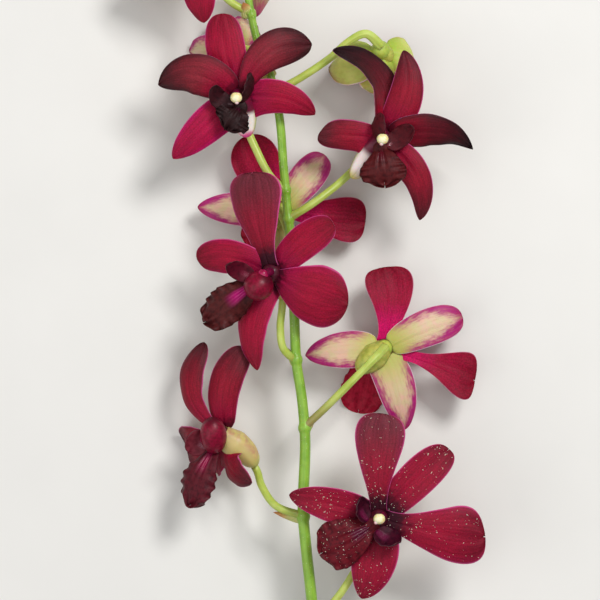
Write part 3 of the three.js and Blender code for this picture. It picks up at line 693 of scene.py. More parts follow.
@dataclass(frozen=True)
class StemSkin(Finish):
    """Green stem skin: fine length lines, pale flecks and, on flower stalks, a flushed foot."""

    name: str
    skin: Colour
    light: Colour
    dark: Colour
    foot: Colour
    foot_reach: float
    ribs: float
    fleck: float
    fleck_tone: Colour = tone(228, 232, 190)

    MOTTLE_SIZE = 5.0
    STREAK_SIZE = 0.04
    STREAK_STRETCH = (1.0, 0.12, 1.0)
    STREAKS = (0.45, 0.75, 0.0, 0.45)
    FOOT_DRIFT = 0.1
    FOOT_SHARE = 0.8
    FLECK_SPACING = 1.1
    FLECK_RADII = (0.16, 0.05)
    ROUGHNESS = (0.3, 0.7, 0.34, 0.48)
    RELIEF = 0.14

    def paint(self, board: Board) -> None:
        """Wires the length lines, a soft mottle, the flecks and the foot's flush."""
        around, along = board.spot("x"), board.spot("y")
        mottle = board.noise(self.MOTTLE_SIZE, 4.0)
        streak = board.noise(self.STREAK_SIZE, 3.0, board.stretched("blade", self.STREAK_STRETCH))
        body = board.blend(board.band(mottle, *SOFT), self.skin, self.light)
        body = board.blend(board.band(streak, *self.STREAKS), body, self.dark)
        foot = board.swayed(along, mottle, self.FOOT_DRIFT)
        body = board.blend(board.band(foot, self.foot_reach, 0.0, 0.0, self.FOOT_SHARE), body, self.foot)
        dots = board.add("ShaderNodeTexVoronoi")
        board.wire(dots.inputs["Vector"], board.spot("object"))
        dots.inputs["Scale"].default_value = 1 / (self.FLECK_SPACING * MM)
        speck = board.band(dots.outputs["Distance"], *self.FLECK_RADII, 0.0, self.fleck)
        board.colour(board.blend(speck, body, self.fleck_tone))
        board.wire(board.shader.inputs["Roughness"], board.band(mottle, *self.ROUGHNESS))
        board.set(Coat_Weight=0.08, Coat_Roughness=0.3)
        board.flesh(0.18, 1.5)
        ridge = board.maths("SINE", board.times(around, self.ribs * math.tau))
        board.bump(board.maths("ADD", streak, board.times(ridge, 0.25)), self.RELIEF, 0.6)


@dataclass(frozen=True)
class BractPaper(Finish):
    """Thin papery bract: pale green with a brown, dry tip."""

    name: str = "bract_paper"
    pale: Colour = tone(200, 205, 125)
    dry: Colour = tone(196, 130, 72)
    vein: Colour = tone(140, 120, 50)

    MOTTLE_SIZE = 1.2
    DRIFT = 0.35
    VEINS = (8.0, 4.0)
    VEIN_SHARE = 0.35
    RELIEF = 0.12

    def paint(self, board: Board) -> None:
        """Wires the pale body, its fine veins and the dried tip."""
        mottle = board.noise(self.MOTTLE_SIZE, 4.0)
        reach = board.maths("ADD", board.spot("y"), board.times(mottle, self.DRIFT))
        body = board.blend(board.band(reach, 0.55, 1.0), self.pale, self.dry)
        lines = board.veins(*self.VEINS)
        board.colour(board.blend(board.times(lines, self.VEIN_SHARE), body, self.vein))
        board.set(Roughness=0.6)
        board.flesh(0.2, 1.0)
        board.bump(board.pressed(mottle, lines, 1.0), self.RELIEF, 0.7)


@dataclass(frozen=True)
class BudSkin(Finish):
    """An unopened bud: green with magenta veins and a flushed tip."""

    name: str
    green: Colour
    flush: Colour
    flush_from: float

    MOTTLE_SIZE = 1.8
    DRIFT = 0.5
    FLUSH_WIDTH = 0.5
    VEINS = (18.0, 6.0)
    VEIN_RISE = (0.1, 0.6, 0.15, 0.5)
    RELIEF = 0.15

    def paint(self, board: Board) -> None:
        """Wires the green ground, the flushed tip and veins along the bud."""
        mottle = board.noise(self.MOTTLE_SIZE, 4.0)
        reach = board.swayed(board.spot("y"), mottle, self.DRIFT)
        flushed = board.band(reach, self.flush_from, self.flush_from + self.FLUSH_WIDTH)
        body = board.blend(flushed, self.green, self.flush)
        lines = board.veins(*self.VEINS)
        share = board.times(lines, board.band(board.spot("y"), *self.VEIN_RISE))
        board.colour(board.blend(share, body, self.flush))
        board.set(Roughness=0.42)
        board.flesh(0.2, 1.5)
        board.bump(board.pressed(mottle, lines, 1.0), self.RELIEF, 0.6)


@dataclass(frozen=True)
class Dust(Finish):
    """Pale flecks that lie on the flower and the stem."""

    name: str = "pale_flecks"
    light: Colour = tone(236, 226, 205)
    dark: Colour = tone(205, 190, 165)

    def paint(self, board: Board) -> None:
        """Wires an off-white with a soft mottle."""
        board.colour(board.blend(board.noise(0.5, 2.0), self.light, self.dark))
        board.set(Roughness=0.35)
        board.flesh(0.2, 0.5)


@dataclass(frozen=True)
class Card(Finish):
    """The plain pale floor."""

    name: str = "pale_floor"
    low: Colour = tone(226, 224, 219)
    high: Colour = tone(233, 231, 226)

    def paint(self, board: Board) -> None:
        """Wires a warm white with the faintest grain."""
        board.colour(board.blend(board.noise(40.0), self.low, self.high))
        board.set(Roughness=0.85)


class Draft:
    """The vertices and faces of one piece, gathered before its mesh is made."""

    def __init__(self, name: str) -> None:
        """Starts an empty piece."""
        self.name = name
        self.finishes: list[Finish] = []
        self.points: list[Vector] = []
        self.faces: list[tuple[int, ...]] = []
        self.marks: list[int] = []
        self.spots: list[tuple[float, float]] = []

    def add(self, point: Vector) -> int:
        """Adds a vertex and returns its index."""
        self.points.append(settle(point))
        return len(self.points) - 1

    def face(self, corners: Sequence[int], spots: Sequence[tuple[float, float]], finish: Finish) -> None:
        """Adds a face with its blade coordinates and its finish."""
        if finish not in self.finishes:
            self.finishes.append(finish)
        self.faces.append(tuple(corners))
        self.marks.append(self.finishes.index(finish))
        self.spots.extend(spots)

    def sheet(
        self,
        rows: Sequence[Sequence[int]],
        alongs: Sequence[float],
        finish: Finish,
        closed: bool = False,
        turned: bool = False,
        across: tuple[float, float] = (0.0, 1.0),
    ) -> None:
        """Joins rows of vertices with quads.

        Args:
            rows: Vertex indices, row after row, all of one length.
            alongs: The second blade coordinate of each row.
            finish: The finish of all the quads.
            closed: Whether each row runs round and meets its own start.
            turned: Whether the faces look the other way.
            across: The first blade coordinate at the start and the end of a row.
        """
        width = len(rows[0])
        count = width if closed else width - 1
        low, high = across
        for row in range(len(rows) - 1):
            for column in range(count):
                after = (column + 1) % width
                corners = [rows[row][column], rows[row][after], rows[row + 1][after], rows[row + 1][column]]
                left = low + (high - low) * column / count
                right = low + (high - low) * (column + 1) / count
                spots = [
                    (left, alongs[row]),
                    (right, alongs[row]),
                    (right, alongs[row + 1]),
                    (left, alongs[row + 1]),
                ]
                if turned:
                    corners.reverse()
                    spots.reverse()
                self.face(corners, spots, finish)

    def piece(self, slot: Slot, *nodes: str) -> bpy.types.Object:
        """Makes the object, sets it on the part's body and reports it.

        Args:
            slot: Not used.
            nodes: The CAD nodes that the piece stands for.

        Returns:
            The finished object.
        """
        mesh = bpy.data.meshes.new(self.name)
        mesh.from_pydata(self.points, [], self.faces)
        for finish in self.finishes:
            mesh.materials.append(finish.material())
        mesh.polygons.foreach_set("material_index", self.marks)
        layer = mesh.uv_layers.new(name=BLADE_MAP)
        layer.data.foreach_set("uv", [number for spot in self.spots for number in spot])
        mesh.validate()
        mesh.shade_smooth()
        made = bpy.data.objects.new(self.name, mesh)
        bpy.context.scene.collection.objects.link(made)
        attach(made, BODY)
        if nodes:
            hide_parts(*nodes)
        log.info("%s: %d faces", self.name, len(self.faces))
        return made


class Path:
    """A smooth line through points, the same centripetal curve as in the part."""

    SUBSTEPS = 14

    def __init__(self, points: Sequence[Vector]) -> None:
        """Samples the curve and measures it."""
        self.spots = [points[0].copy()]
        for index in range(len(points) - 1):
            before = points[index - 1] if index else points[0] * 2 - points[1]
            last = index + 2 < len(points)
            after = points[index + 2] if last else points[-1] * 2 - points[-2]
            self._segment(before, points[index], points[index + 1], after)
        self.lengths = [0.0]
        for first, second in zip(self.spots, self.spots[1:]):
            self.lengths.append(self.lengths[-1] + (second - first).length)

    def _segment(self, before: Vector, start: Vector, end: Vector, after: Vector) -> None:
        """Adds the samples of one stretch between two points."""
        first = max((start - before).length ** 0.5, 1e-4)
        middle = max((end - start).length ** 0.5, 1e-4)
        last = max((after - end).length ** 0.5, 1e-4)
        leave = (start - before) / first - (end - before) / (first + middle) + (end - start) / middle
        reach = (end - start) / middle - (after - start) / (middle + last) + (after - end) / last
        leave, reach = leave * middle, reach * middle
        for step in range(1, self.SUBSTEPS + 1):
            t = step / self.SUBSTEPS
            square, cube = t * t, t * t * t
            self.spots.append(
                start * (2 * cube - 3 * square + 1)
                + leave * (cube - 2 * square + t)
                + end * (3 * square - 2 * cube)
                + reach * (cube - square)
            )

    def at(self, share: float) -> Vector:
        """Returns the point at a share of the line's length."""
        goal = min(max(share, 0.0), 1.0) * self.lengths[-1]
        index = 0
        while index < len(self.lengths) - 2 and self.lengths[index + 1] < goal:
            index += 1
        span = max(self.lengths[index + 1] - self.lengths[index], 1e-9)
        return self.spots[index].lerp(self.spots[index + 1], (goal - self.lengths[index]) / span)

    def heading(self, share: float) -> Vector:
        """Returns the line's unit direction at a share of its length."""
        reach = 0.5 / len(self.spots)
        return (self.at(min(share + reach, 1.0)) - self.at(max(share - reach, 0.0))).normalized()

    def nearest(self, point: Vector) -> float:
        """Returns the share of the line's length that comes closest to a point."""
        return min(even(300), key=lambda share: (self.at(share) - point).length_squared)


@dataclass
class Tube:
    """A closed tube along a path, whose radius may change with its length and round it."""

    path: Path
    radius: Callable[[float, float], float]
    stations: Sequence[float]
    sides: int
    up: Vector = field(default_factory=lambda: Vector((0.0, 0.0, 1.0)))

    def draw(self, draft: Draft, finish: Finish, cut: Finish | None = None) -> None:
        """Adds the tube to a piece.

        Args:
            draft: The piece.
            finish: The finish of the tube's skin.
            cut: The finish of its two ends, where it differs.
        """
        over = self.up
        rows: list[list[int]] = []
        for share in self.stations:
            centre, along = self.path.at(share), self.path.heading(share)
            over = square_to(over, along)
            across = along.cross(over)
            row = []
            for side in range(self.sides):
                angle = math.tau * side / self.sides
                reach = self.radius(share, angle)
                row.append(draft.add(centre + (over * math.cos(angle) + across * math.sin(angle)) * reach))
            rows.append(row)
        draft.sheet(rows, self.stations, finish, closed=True)
        for row, share, turned in ((rows[0], 0.0, False), (rows[-1], 1.0, True)):
            middle = draft.add(self.path.at(share))
            for side in range(self.sides):
                pair = [row[side], row[(side + 1) % self.sides]]
                corners = [middle, *(pair if turned else reversed(pair))]
                draft.face(corners, [(0.5, share)] * 3, cut or finish)


def ball(centre: Vector, axis: Vector, across: float, along: float, steps: int = 18) -> Tube:
    """Returns an ellipsoid as a tube along its own axis."""
    path = Path([centre - axis * along, centre, centre + axis * along])

    def radius(share: float, _: float) -> float:
        """Returns the ellipsoid's radius at a share of its axis."""
        return across * math.sqrt(max(0.0, 1 - (2 * share - 1) ** 2)) + 0.01

    up = Vector((0.0, 0.0, 1.0)) if abs(axis.z) < 0.9 else Vector((0.0, 1.0, 0.0))
    return Tube(path, radius, rounded(steps), 2 * steps, up)


@dataclass(frozen=True)
class Outline:
    """How a blade's half width rises from its base and falls to its tip."""

    rise: float
    fall: float
    claw: float

    def share(self, along: float) -> float:
        """Returns the half width at a share of the length, as a share of the greatest."""
        peak = self.rise / (self.rise + self.fall)
        most = peak**self.rise * (1 - peak) ** self.fall
        swell = along**self.rise * max(0.0, 1 - along) ** self.fall / most
        return max(swell + self.claw * (1 - along) ** CLAW_POWER, 0.02)


class Outlines(Enum):
    """The outlines of the flower's blades, the same as in the part."""

    PETAL = Outline(0.95, 0.5, 0.2)
    SPATULA = Outline(1.4, 0.36, 0.34)
    FAN = Outline(2.6, 0.36, 0.42)
    SEPAL = Outline(0.5, 0.62, 0.3)
    BLUNT = Outline(0.62, 0.36, 0.4)
    POINT = Outline(0.5, 0.9, 0.35)
    LOBE = Outline(0.55, 0.5, 0.35)
    LIP = Outline(0.9, 0.42, 0.3)
    BRACT = Outline(0.35, 0.9, 0.4)


@dataclass(frozen=True)
class Faces:
    """The finishes of a blade's front, back and rim."""

    front: Finish
    back: Finish
    rim: Finish


@dataclass(frozen=True)
class Blade:
    """A thin closed blade along a curved midline, the same form as in the part."""

    root: Vector
    tip: Vector
    facing: Vector
    outline: Outlines
    width: float
    thickness: float
    arch: float = 0.0
    bow: float = 0.0
    roll: float = 0.0
    cup: float = 0.0
    ruffle: float = 0.0
    notch: float = 0.0
    slant: float = 0.0
    rib: float = 0.0
    ripple: float = 0.0
    ripples: float = 7.0
    phase: float = 0.0
    keels: float = 0.0
    web: Vector | None = None

    def draw(self, draft: Draft, faces: Faces, rows: int, columns: int) -> None:
        """Adds the blade's two faces and its rim to a piece.

        Args:
            draft: The piece.
            faces: The finishes.
            rows: Rows of quads along the blade; they crowd towards its tip.
            columns: Quads across the blade.
        """
        alongs = [1 - (1 - row / rows) ** 2 for row in range(rows + 1)]
        front: list[list[int]] = []
        back: list[list[int]] = []
        for along in alongs:
            pairs = [self.pair(along, 2 * column / columns - 1) for column in range(columns + 1)]
            front.append([draft.add(pair[0]) for pair in pairs])
            back.append([draft.add(pair[1]) for pair in pairs])
        draft.sheet(front, alongs, faces.front)
        draft.sheet(back, alongs, faces.back, turned=True)
        for column, turned, side in ((0, True, 0.0), (columns, False, 1.0)):
            strip = [[row[column], other[column]] for row, other in zip(front, back)]
            draft.sheet(strip, alongs, faces.rim, turned=turned, across=(side, side))
        for row, turned in ((0, False), (rows, True)):
            strip = [list(pair) for pair in zip(front[row], back[row])]
            draft.sheet(strip, even(columns), faces.rim, turned=turned, across=(0.0, 0.0))

    def pair(self, along: float, across: float) -> tuple[Vector, Vector]:
        """Returns the front and the back point at a place of the blade, each from -1 to 1 across."""
        chord = (self.tip - self.root).normalized()
        face = square_to(self.facing, chord)
        face.rotate(Quaternion(chord, math.radians(self.roll)))
        side = chord.cross(face)
        middle = (self.root + self.tip) / 2 + face * 2 * self.arch + side * 2 * self.bow
        start, end = self.root.lerp(middle, along), middle.lerp(self.tip, along)
        heading = (end - start).normalized()
        normal = square_to(face, heading)
        width = heading.cross(normal)
        share = self.outline.value.share(along)
        bend = across * across
        lift = self.cup * bend * share + self._wave(along, across)
        dent = self.notch * along**NOTCH_POWER * (1 - min(1.0, abs(across) * NOTCH_SPREAD))
        point = start.lerp(end, along) + width * (across * share * self.width / 2)
        point += normal * lift + heading * (self.slant * across * share * along**SLANT_POWER - dent)
        if self.web:
            towards = self.web - self.root
            pull = max(0.0, math.copysign(across, across * width.dot(towards)))
            point = point.lerp(self.web, pull * (1 - along) ** WEB_POWER)
        thin = 1 - RIM_THINNING * max(abs(across) ** SIDE_THINNING_POWER, along**TIP_THINNING_POWER)
        half = normal * (self.thickness / 2 * thin)
        return point + half, point - half

    def _wave(self, along: float, across: float) -> float:
        """Returns how far the blade's surface stands out of its plain form."""
        half_turn = math.pi if across > 0 else 0.0
        wave = self.ruffle * across * across * math.sin(RUFFLE_HALF_TURNS * math.pi * along + half_turn)
        frill = math.sin(math.tau * self.ripples * along + self.phase + FRILL_SHIFT * half_turn)
        wave += self.ripple * abs(across) ** 3 * frill * smooth(along, *FRILL_RISE)
        end = math.sin(math.tau * TIP_RIPPLES * across + self.phase)
        wave += self.ripple * along**TIP_RIPPLE_POWER * end
        wave -= self.rib * math.exp(-((across / RIB_WIDTH) ** 2)) * (1 - along**2)
        keel = math.cos(3 * math.pi * min(1.0, abs(across) / KEEL_BAND)) * smooth(abs(across), *KEEL_RISE)
        return wave + self.keels * keel * smooth(along, *KEEL_END)


CRIMSON_FACE = TepalFace(
    "tepal_crimson", tone(150, 10, 60), tone(154, 14, 48), tone(112, 16, 34), tone(164, 14, 72),
    tone(70, 4, 28), 0.68, 1.15,
)
MAGENTA_FACE = TepalFace(
    "tepal_magenta", tone(152, 10, 48), tone(164, 14, 62), tone(138, 16, 50), tone(188, 18, 104),
    tone(96, 6, 36), 0.75, 1.25,
)
DUSKY_FACE = TepalFace(
    "tepal_dusky", tone(150, 14, 52), tone(138, 18, 40), tone(84, 30, 38), tone(112, 16, 38),
    tone(80, 6, 28), 0.5, 1.05,
)
SMOKED_FACE = TepalFace(
    "tepal_smoked", tone(154, 12, 50), tone(128, 34, 46), tone(54, 22, 26), tone(52, 18, 24),
    tone(90, 6, 30), 0.46, 1.1,
    rim=tone(96, 50, 62)
)
DUSTY_FACE = TepalFace(
    "tepal_dusty", tone(140, 12, 40), tone(142, 20, 46), tone(110, 42, 54), tone(150, 30, 72),
    tone(52, 4, 22), 0.42, 1.0, 0.3,
)
BLOTCHED_FACE = TepalFace(
    "tepal_blotched", tone(142, 10, 46), tone(146, 16, 46), tone(112, 18, 38), tone(156, 18, 66),
    tone(50, 4, 22), 0.66, 1.1, 0.34,
)
BLACKENED_FACE = TepalFace(
    "tepal_blackened", tone(140, 10, 38), tone(86, 15, 27), tone(33, 13, 17), tone(34, 12, 17),
    tone(74, 6, 24), 0.42, 1.0,
    rim=tone(80, 40, 56)
)
TEPAL_FACES = {
    Shade.CRIMSON: CRIMSON_FACE,
    Shade.MAGENTA: MAGENTA_FACE,
    Shade.DUSKY: DUSKY_FACE,
    Shade.DUSTY: DUSTY_FACE,
    Shade.BLOTCHED: BLOTCHED_FACE,
    Shade.SMOKED: SMOKED_FACE,
    Shade.BLACKENED: BLACKENED_FACE,
}
PETAL_BACK = PetalBack()
SEPAL_BACKS = {
    Backing.MOTTLED: SepalBack(
        "sepal_back_mottled", tone(206, 188, 146), tone(178, 178, 84), tone(164, 22, 106), 0.36, 1.0,
        tone(146, 18, 80), tone(222, 170, 160),
    ),
    Backing.GREEN: SepalBack(
        "sepal_back_green", tone(204, 208, 112), tone(160, 184, 60), tone(158, 96, 62), 0.74, 0.6,
        tone(126, 76, 50), tone(184, 194, 88),
    ),
}
TEPAL_RIM = Rim("tepal_rim", tone(206, 120, 160), tone(150, 26, 80))
LIP_RIM = Rim("lip_rim", tone(96, 30, 42), tone(48, 14, 22))


class LipTone(Enum):
    """The colouring of a bloom's lip: its face, its back and its side lobes."""

    BLACK = "black"
    BROWN = "brown"
    CRIMSON = "crimson"
    MAROON = "maroon"
    STRIPED = "striped"
    WINE = "wine"


LIP_FACES = {
    LipTone.BLACK: LipFlesh("lip_black", tone(46, 24, 25), tone(26, 11, 13), tone(62, 14, 34), 0.3, 0.3),
    LipTone.BROWN: LipFlesh("lip_brown", tone(86, 24, 26), tone(52, 12, 16), tone(84, 12, 26), 0.35, 0.4),
    LipTone.CRIMSON: LipFlesh(
        "lip_crimson", tone(184, 32, 62), tone(138, 14, 38), tone(170, 14, 66), 0.4, 0.5,
    ),
    LipTone.STRIPED: LipFlesh(
        "lip_striped", tone(82, 28, 28), tone(52, 15, 17), tone(184, 8, 112), 0.46, 0.6,
    ),
    LipTone.MAROON: LipFlesh("lip_maroon", tone(92, 22, 34), tone(54, 10, 20), tone(140, 6, 62), 0.45, 0.5),
    LipTone.WINE: LipFlesh("lip_wine", tone(104, 18, 30), tone(62, 8, 20), tone(84, 4, 40), 0.45, 0.45),
}
LOBE_FACES = {
    LipTone.BLACK: LipFlesh("side_lobe_black", tone(54, 16, 22), tone(30, 7, 13), tone(76, 10, 32), 0.2, 0.2),
    LipTone.BROWN: LipFlesh(
        "side_lobe_brown", tone(82, 14, 24), tone(50, 8, 16), tone(110, 12, 36), 0.2, 0.2,
    ),
    LipTone.CRIMSON: LipFlesh(
        "side_lobe_crimson", tone(158, 16, 52), tone(106, 8, 34), tone(170, 14, 66), 0.3, 0.4,
    ),
    LipTone.STRIPED: LipFlesh(
        "side_lobe_striped", tone(88, 12, 32), tone(56, 7, 22), tone(110, 10, 44), 0.4, 0.5,
    ),
    LipTone.MAROON: LipFlesh(
        "side_lobe_maroon", tone(124, 46, 58), tone(92, 22, 36), tone(120, 20, 50), 0.4, 0.5,
    ),
    LipTone.WINE: LipFlesh("side_lobe_wine", tone(66, 8, 30), tone(34, 4, 20), tone(96, 8, 52), 0.5, 0.6),
}
HOOD_FLESH = Wax("hood_flesh", tone(106, 5, 32), tone(136, 8, 46), tone(78, 5, 26), 0.62, 0.25, 0.05)
HUB_FLESH = Heart("hub_flesh", tone(190, 198, 84), tone(150, 178, 58), tone(74, 5, 28), tone(74, 5, 28), True)
HUB_GREEN = Heart(
    "hub_green", tone(176, 190, 78), tone(146, 172, 56), tone(160, 176, 66), tone(160, 176, 66), True,
)
CHIN_GREEN = Heart(
    "chin_green", tone(186, 184, 84), tone(150, 158, 60), tone(200, 192, 110), tone(176, 176, 70), False,
)
CHIN_FRONT = Heart(
    "chin_front", tone(186, 184, 84), tone(150, 158, 60), tone(206, 198, 120), tone(186, 184, 90), False,
    tone(84, 6, 32),
)
CHIN_WHITE = Heart(
    "chin_white", tone(176, 178, 84), tone(150, 160, 66), tone(238, 226, 218), tone(206, 60, 130), False,
    tone(104, 8, 44),
)
CHIN_PALE = Heart(
    "chin_pale", tone(176, 178, 84), tone(150, 160, 66), tone(226, 208, 204), tone(190, 176, 100), False,
    tone(104, 8, 44),
)
CHIN_BLUSHED = Heart(
    "chin_blushed", tone(202, 188, 112), tone(190, 148, 108), tone(196, 176, 110), tone(190, 180, 96), False
)
COLUMN_FLESH = Wax("column_flesh", tone(84, 5, 40), tone(116, 8, 56), tone(70, 5, 34), 0.62, 0.25, 0.1)
CAP_CREAM = Wax("cap_cream", tone(232, 214, 142), tone(244, 236, 184), tone(246, 240, 200), 0.66)
CAP_CRIMSON = Wax("cap_crimson", tone(142, 12, 62), tone(168, 20, 80), tone(176, 24, 86), 0.72)
BEAK_PINK = Wax("beak_pink", tone(214, 150, 160), tone(236, 200, 196), tone(240, 210, 205), 0.7)


@dataclass(frozen=True)
class Tepal:
    """One petal or sepal; its tip is measured from the bloom's centre."""

    kind: Kind
    tip: Triple
    width: float
    shade: Shade = Shade.CRIMSON
    arch: float = 0.0
    bow: float = 0.0
    roll: float = 0.0
    cup: float = 0.0
    notch: float = 0.0
    slant: float = 0.0
    shape: Outlines | None = None


@dataclass(frozen=True)
class Lip:
    """The lip's middle lobe; its tip is measured from the bloom's centre."""

    tip: Triple
    width: float
    colouring: LipTone
    arch: float
    cup: float
    ruffle: float
    notch: float = 0.0
    roll: float = 0.0


@dataclass(frozen=True)
class SideLobe:
    """One of the two upright lobes beside the column."""

    tip: Triple
    width: float
    cup: float
    lean: float = 0.0
    bow: float = 0.0


@dataclass(frozen=True)
class Hood:
    """A side lobe that is folded over the column like a smooth ball."""

    place: Triple
    across: float
    along: float


@dataclass(frozen=True)
class Bloom:
    """One open flower: tepals on a hub with its chin, the lip, and the column."""

    number: int
    centre: Triple
    facing: Triple
    dorsal: Triple
    chin: Triple
    tepals: tuple[Tepal, ...]
    lip: Lip
    lobes: tuple[SideLobe, ...] = ()
    chin_size: float = 1.0
    chin_scoop: float = 0.62
    hood: Hood | None = None
    backing: Backing = Backing.MOTTLED
    hub_finish: Heart = HUB_FLESH
    chin_finish: Heart = CHIN_FRONT
    cream_cap: bool = True

    ROWS = 44
    COLUMNS = 24

    def middle(self) -> Vector:
        """Returns the bloom's centre."""
        return Vector(self.centre)

    def axis(self) -> Vector:
        """Returns the unit direction that the bloom faces."""
        return Vector(self.facing).normalized()

    def upright(self) -> Vector:
        """Returns the unit direction towards the dorsal sepal, square to the axis."""
        return square_to(Vector(self.dorsal), self.axis())

    def blade(self, tepal: Tepal, order: int) -> Blade:
        """Returns the blade of one tepal.

        Args:
            tepal: The tepal.
            order: Its place in the bloom, which varies its ripples.

        Returns:
            The blade, rooted on the hub as in the part.
        """
        petal = tepal.kind is Kind.PETAL
        layer = PETAL_LAYER if petal else -PETAL_LAYER
        tip = Vector(tepal.tip)
        web = None
        if tepal.kind is Kind.LATERAL:
            web = self.middle() + Vector(self.chin) * WEB_REACH - self.axis() * WEB_DEPTH
        return Blade(
            root=self.middle() + tip.normalized() * TEPAL_ROOT + self.axis() * layer,
            tip=self.middle() + tip,
            facing=self.axis(),
            outline=tepal.shape or (Outlines.PETAL if petal else Outlines.SEPAL),
            width=tepal.width,
            thickness=TEPAL_THICKNESS,
            arch=tepal.arch,
            bow=tepal.bow,
            roll=tepal.roll,
            cup=tepal.cup,
            notch=tepal.notch,
            slant=tepal.slant,
            rib=RIB_DEPTH,
            ripple=PETAL_RIPPLE if petal else SEPAL_RIPPLE,
            ripples=2.6 + 0.37 * order,
            phase=1.3 * self.number + 2.1 * order,
            web=web,
        )

    def blades(self) -> list[tuple[Tepal, Blade]]:
        """Returns every tepal with its blade."""
        return [(tepal, self.blade(tepal, order)) for order, tepal in enumerate(self.tepals)]

    def build(self) -> None:
        """Builds and dresses the bloom's pieces."""
        self.build_tepals()
        self.build_heart()
        self.build_lip()
        self.build_column()

    def build_tepals(self) -> None:
        """Builds the five tepals."""
        draft = Draft(f"bloom_{self.number}_perianth")
        for tepal, blade in self.blades():
            back = PETAL_BACK if tepal.kind is Kind.PETAL else SEPAL_BACKS[self.backing]
            blade.draw(draft, Faces(TEPAL_FACES[tepal.shade], back, TEPAL_RIM), self.ROWS, self.COLUMNS)
        draft.piece(Slot.TEPAL, f"bloom_{self.number}_tepals")

    def build_heart(self) -> None:
        """Builds the hub and the chin, which is hollow towards the lip."""
        draft = Draft(f"bloom_{self.number}_chin")
        centre, axis = self.middle(), self.axis()
        ball(centre, axis, HUB_RADIUS, HUB_DEPTH).draw(draft, self.hub_finish)
        tip = centre + Vector(self.chin)
        path = Path([centre, centre.lerp(tip, 0.5) - axis * CHIN_BEND, tip])

        def radius(share: float, angle: float) -> float:
            """Returns the chin's radius, scooped in front and rounded at its tip."""
            plain = self.chin_size * value_along(CHIN_RADII, share)
            front = max(0.0, math.cos(angle)) ** 2
            scoop = 1 - self.chin_scoop * front * smooth(share, *CHIN_SCOOP_RISE)
            past = max(0.0, (share - CHIN_ROUND_FROM) / CHIN_ROUNDING)
            return plain * scoop * math.sqrt(max(0.0, 1 - past**2)) + LEAST_RADIUS

        Tube(path, radius, rounded(22), 36, axis).draw(draft, self.chin_finish)
        draft.piece(Slot.PALE, f"bloom_{self.number}_tepals")

    def claw(self) -> Vector:
        """Returns the place where the lip is rooted."""
        return self.middle() + self.axis() * (HUB_DEPTH + GAP) - self.upright() * LIP_OFFSET

    def lip_blade(self) -> Blade:
        """Returns the lip's ruffled middle lobe with its three keels."""
        return Blade(
            root=self.claw(),
            tip=self.middle() + Vector(self.lip.tip),
            facing=self.axis(),
            outline=Outlines.LIP,
            width=self.lip.width,
            thickness=LIP_THICKNESS,
            arch=self.lip.arch,
            roll=self.lip.roll,
            cup=self.lip.cup,
            ruffle=self.lip.ruffle,
            notch=self.lip.notch,
            ripple=0.55 + 0.35 * self.lip.ruffle,
            ripples=4.5 + 1.6 * self.lip.ruffle,
            phase=0.8 * self.number,
            keels=KEEL_HEIGHT,
        )

    def build_lip(self) -> None:
        """Builds the lip's foot, its ruffled middle lobe with three keels, and its side lobes."""
        draft = Draft(f"bloom_{self.number}_labellum")
        centre, axis, lip = self.middle(), self.axis(), self.lip
        claw, colouring = self.claw(), LIP_FACES[lip.colouring]
        self.lip_blade().draw(draft, Faces(colouring, colouring, LIP_RIM), 48, 36)
        ball(claw, axis, LIP_FOOT_RADIUS, LIP_FOOT_DEPTH).draw(draft, colouring)
        beside = LOBE_FACES[lip.colouring]
        for order, lobe in enumerate(self.lobes):
            tip = centre + Vector(lobe.tip)
            inwards = (centre + axis * HUB_DEPTH - tip).normalized()
            Blade(
                root=claw - inwards * LOBE_INSET + axis * LOBE_RISE,
                tip=tip,
                facing=inwards + axis * lobe.lean,
                outline=Outlines.LOBE,
                width=lobe.width,
                thickness=LIP_THICKNESS,
                arch=LOBE_ARCH,
                bow=lobe.bow,
                cup=lobe.cup,
                ripple=LOBE_RIPPLE,
                ripples=LOBE_RIPPLES,
                phase=1.9 * order + self.number,
            ).draw(draft, Faces(beside, beside, LIP_RIM), 28, 18)
        if self.hood:
            place = centre + Vector(self.hood.place)
            ball(place, self.upright(), self.hood.across, self.hood.along).draw(draft, HOOD_FLESH)
        draft.piece(Slot.LIP, f"bloom_{self.number}_lip")

    def build_column(self) -> None:
        """Builds the column, its two-lobed cap and the small beak under the cap."""
        centre, axis, up = self.middle(), self.axis(), self.upright()
        foot = centre + axis * (HUB_DEPTH - GAP) + up * COLUMN_OFFSET
        head = centre + axis * COLUMN_LENGTH + up * CAP_OFFSET
        path = Path([foot, foot.lerp(head, 0.5) + up * COLUMN_BEND, head])

        def radius(share: float, angle: float) -> float:
            """Returns the column's radius, with a hollow on the lip's side and a hooded end."""
            hollow = COLUMN_HOLLOW * max(0.0, -math.cos(angle)) ** 2 * smooth(share, *COLUMN_HOLLOW_RISE)
            return COLUMN_RADIUS * (COLUMN_FULLNESS - hollow + COLUMN_HOOD * smooth(share, *COLUMN_HOOD_RISE))

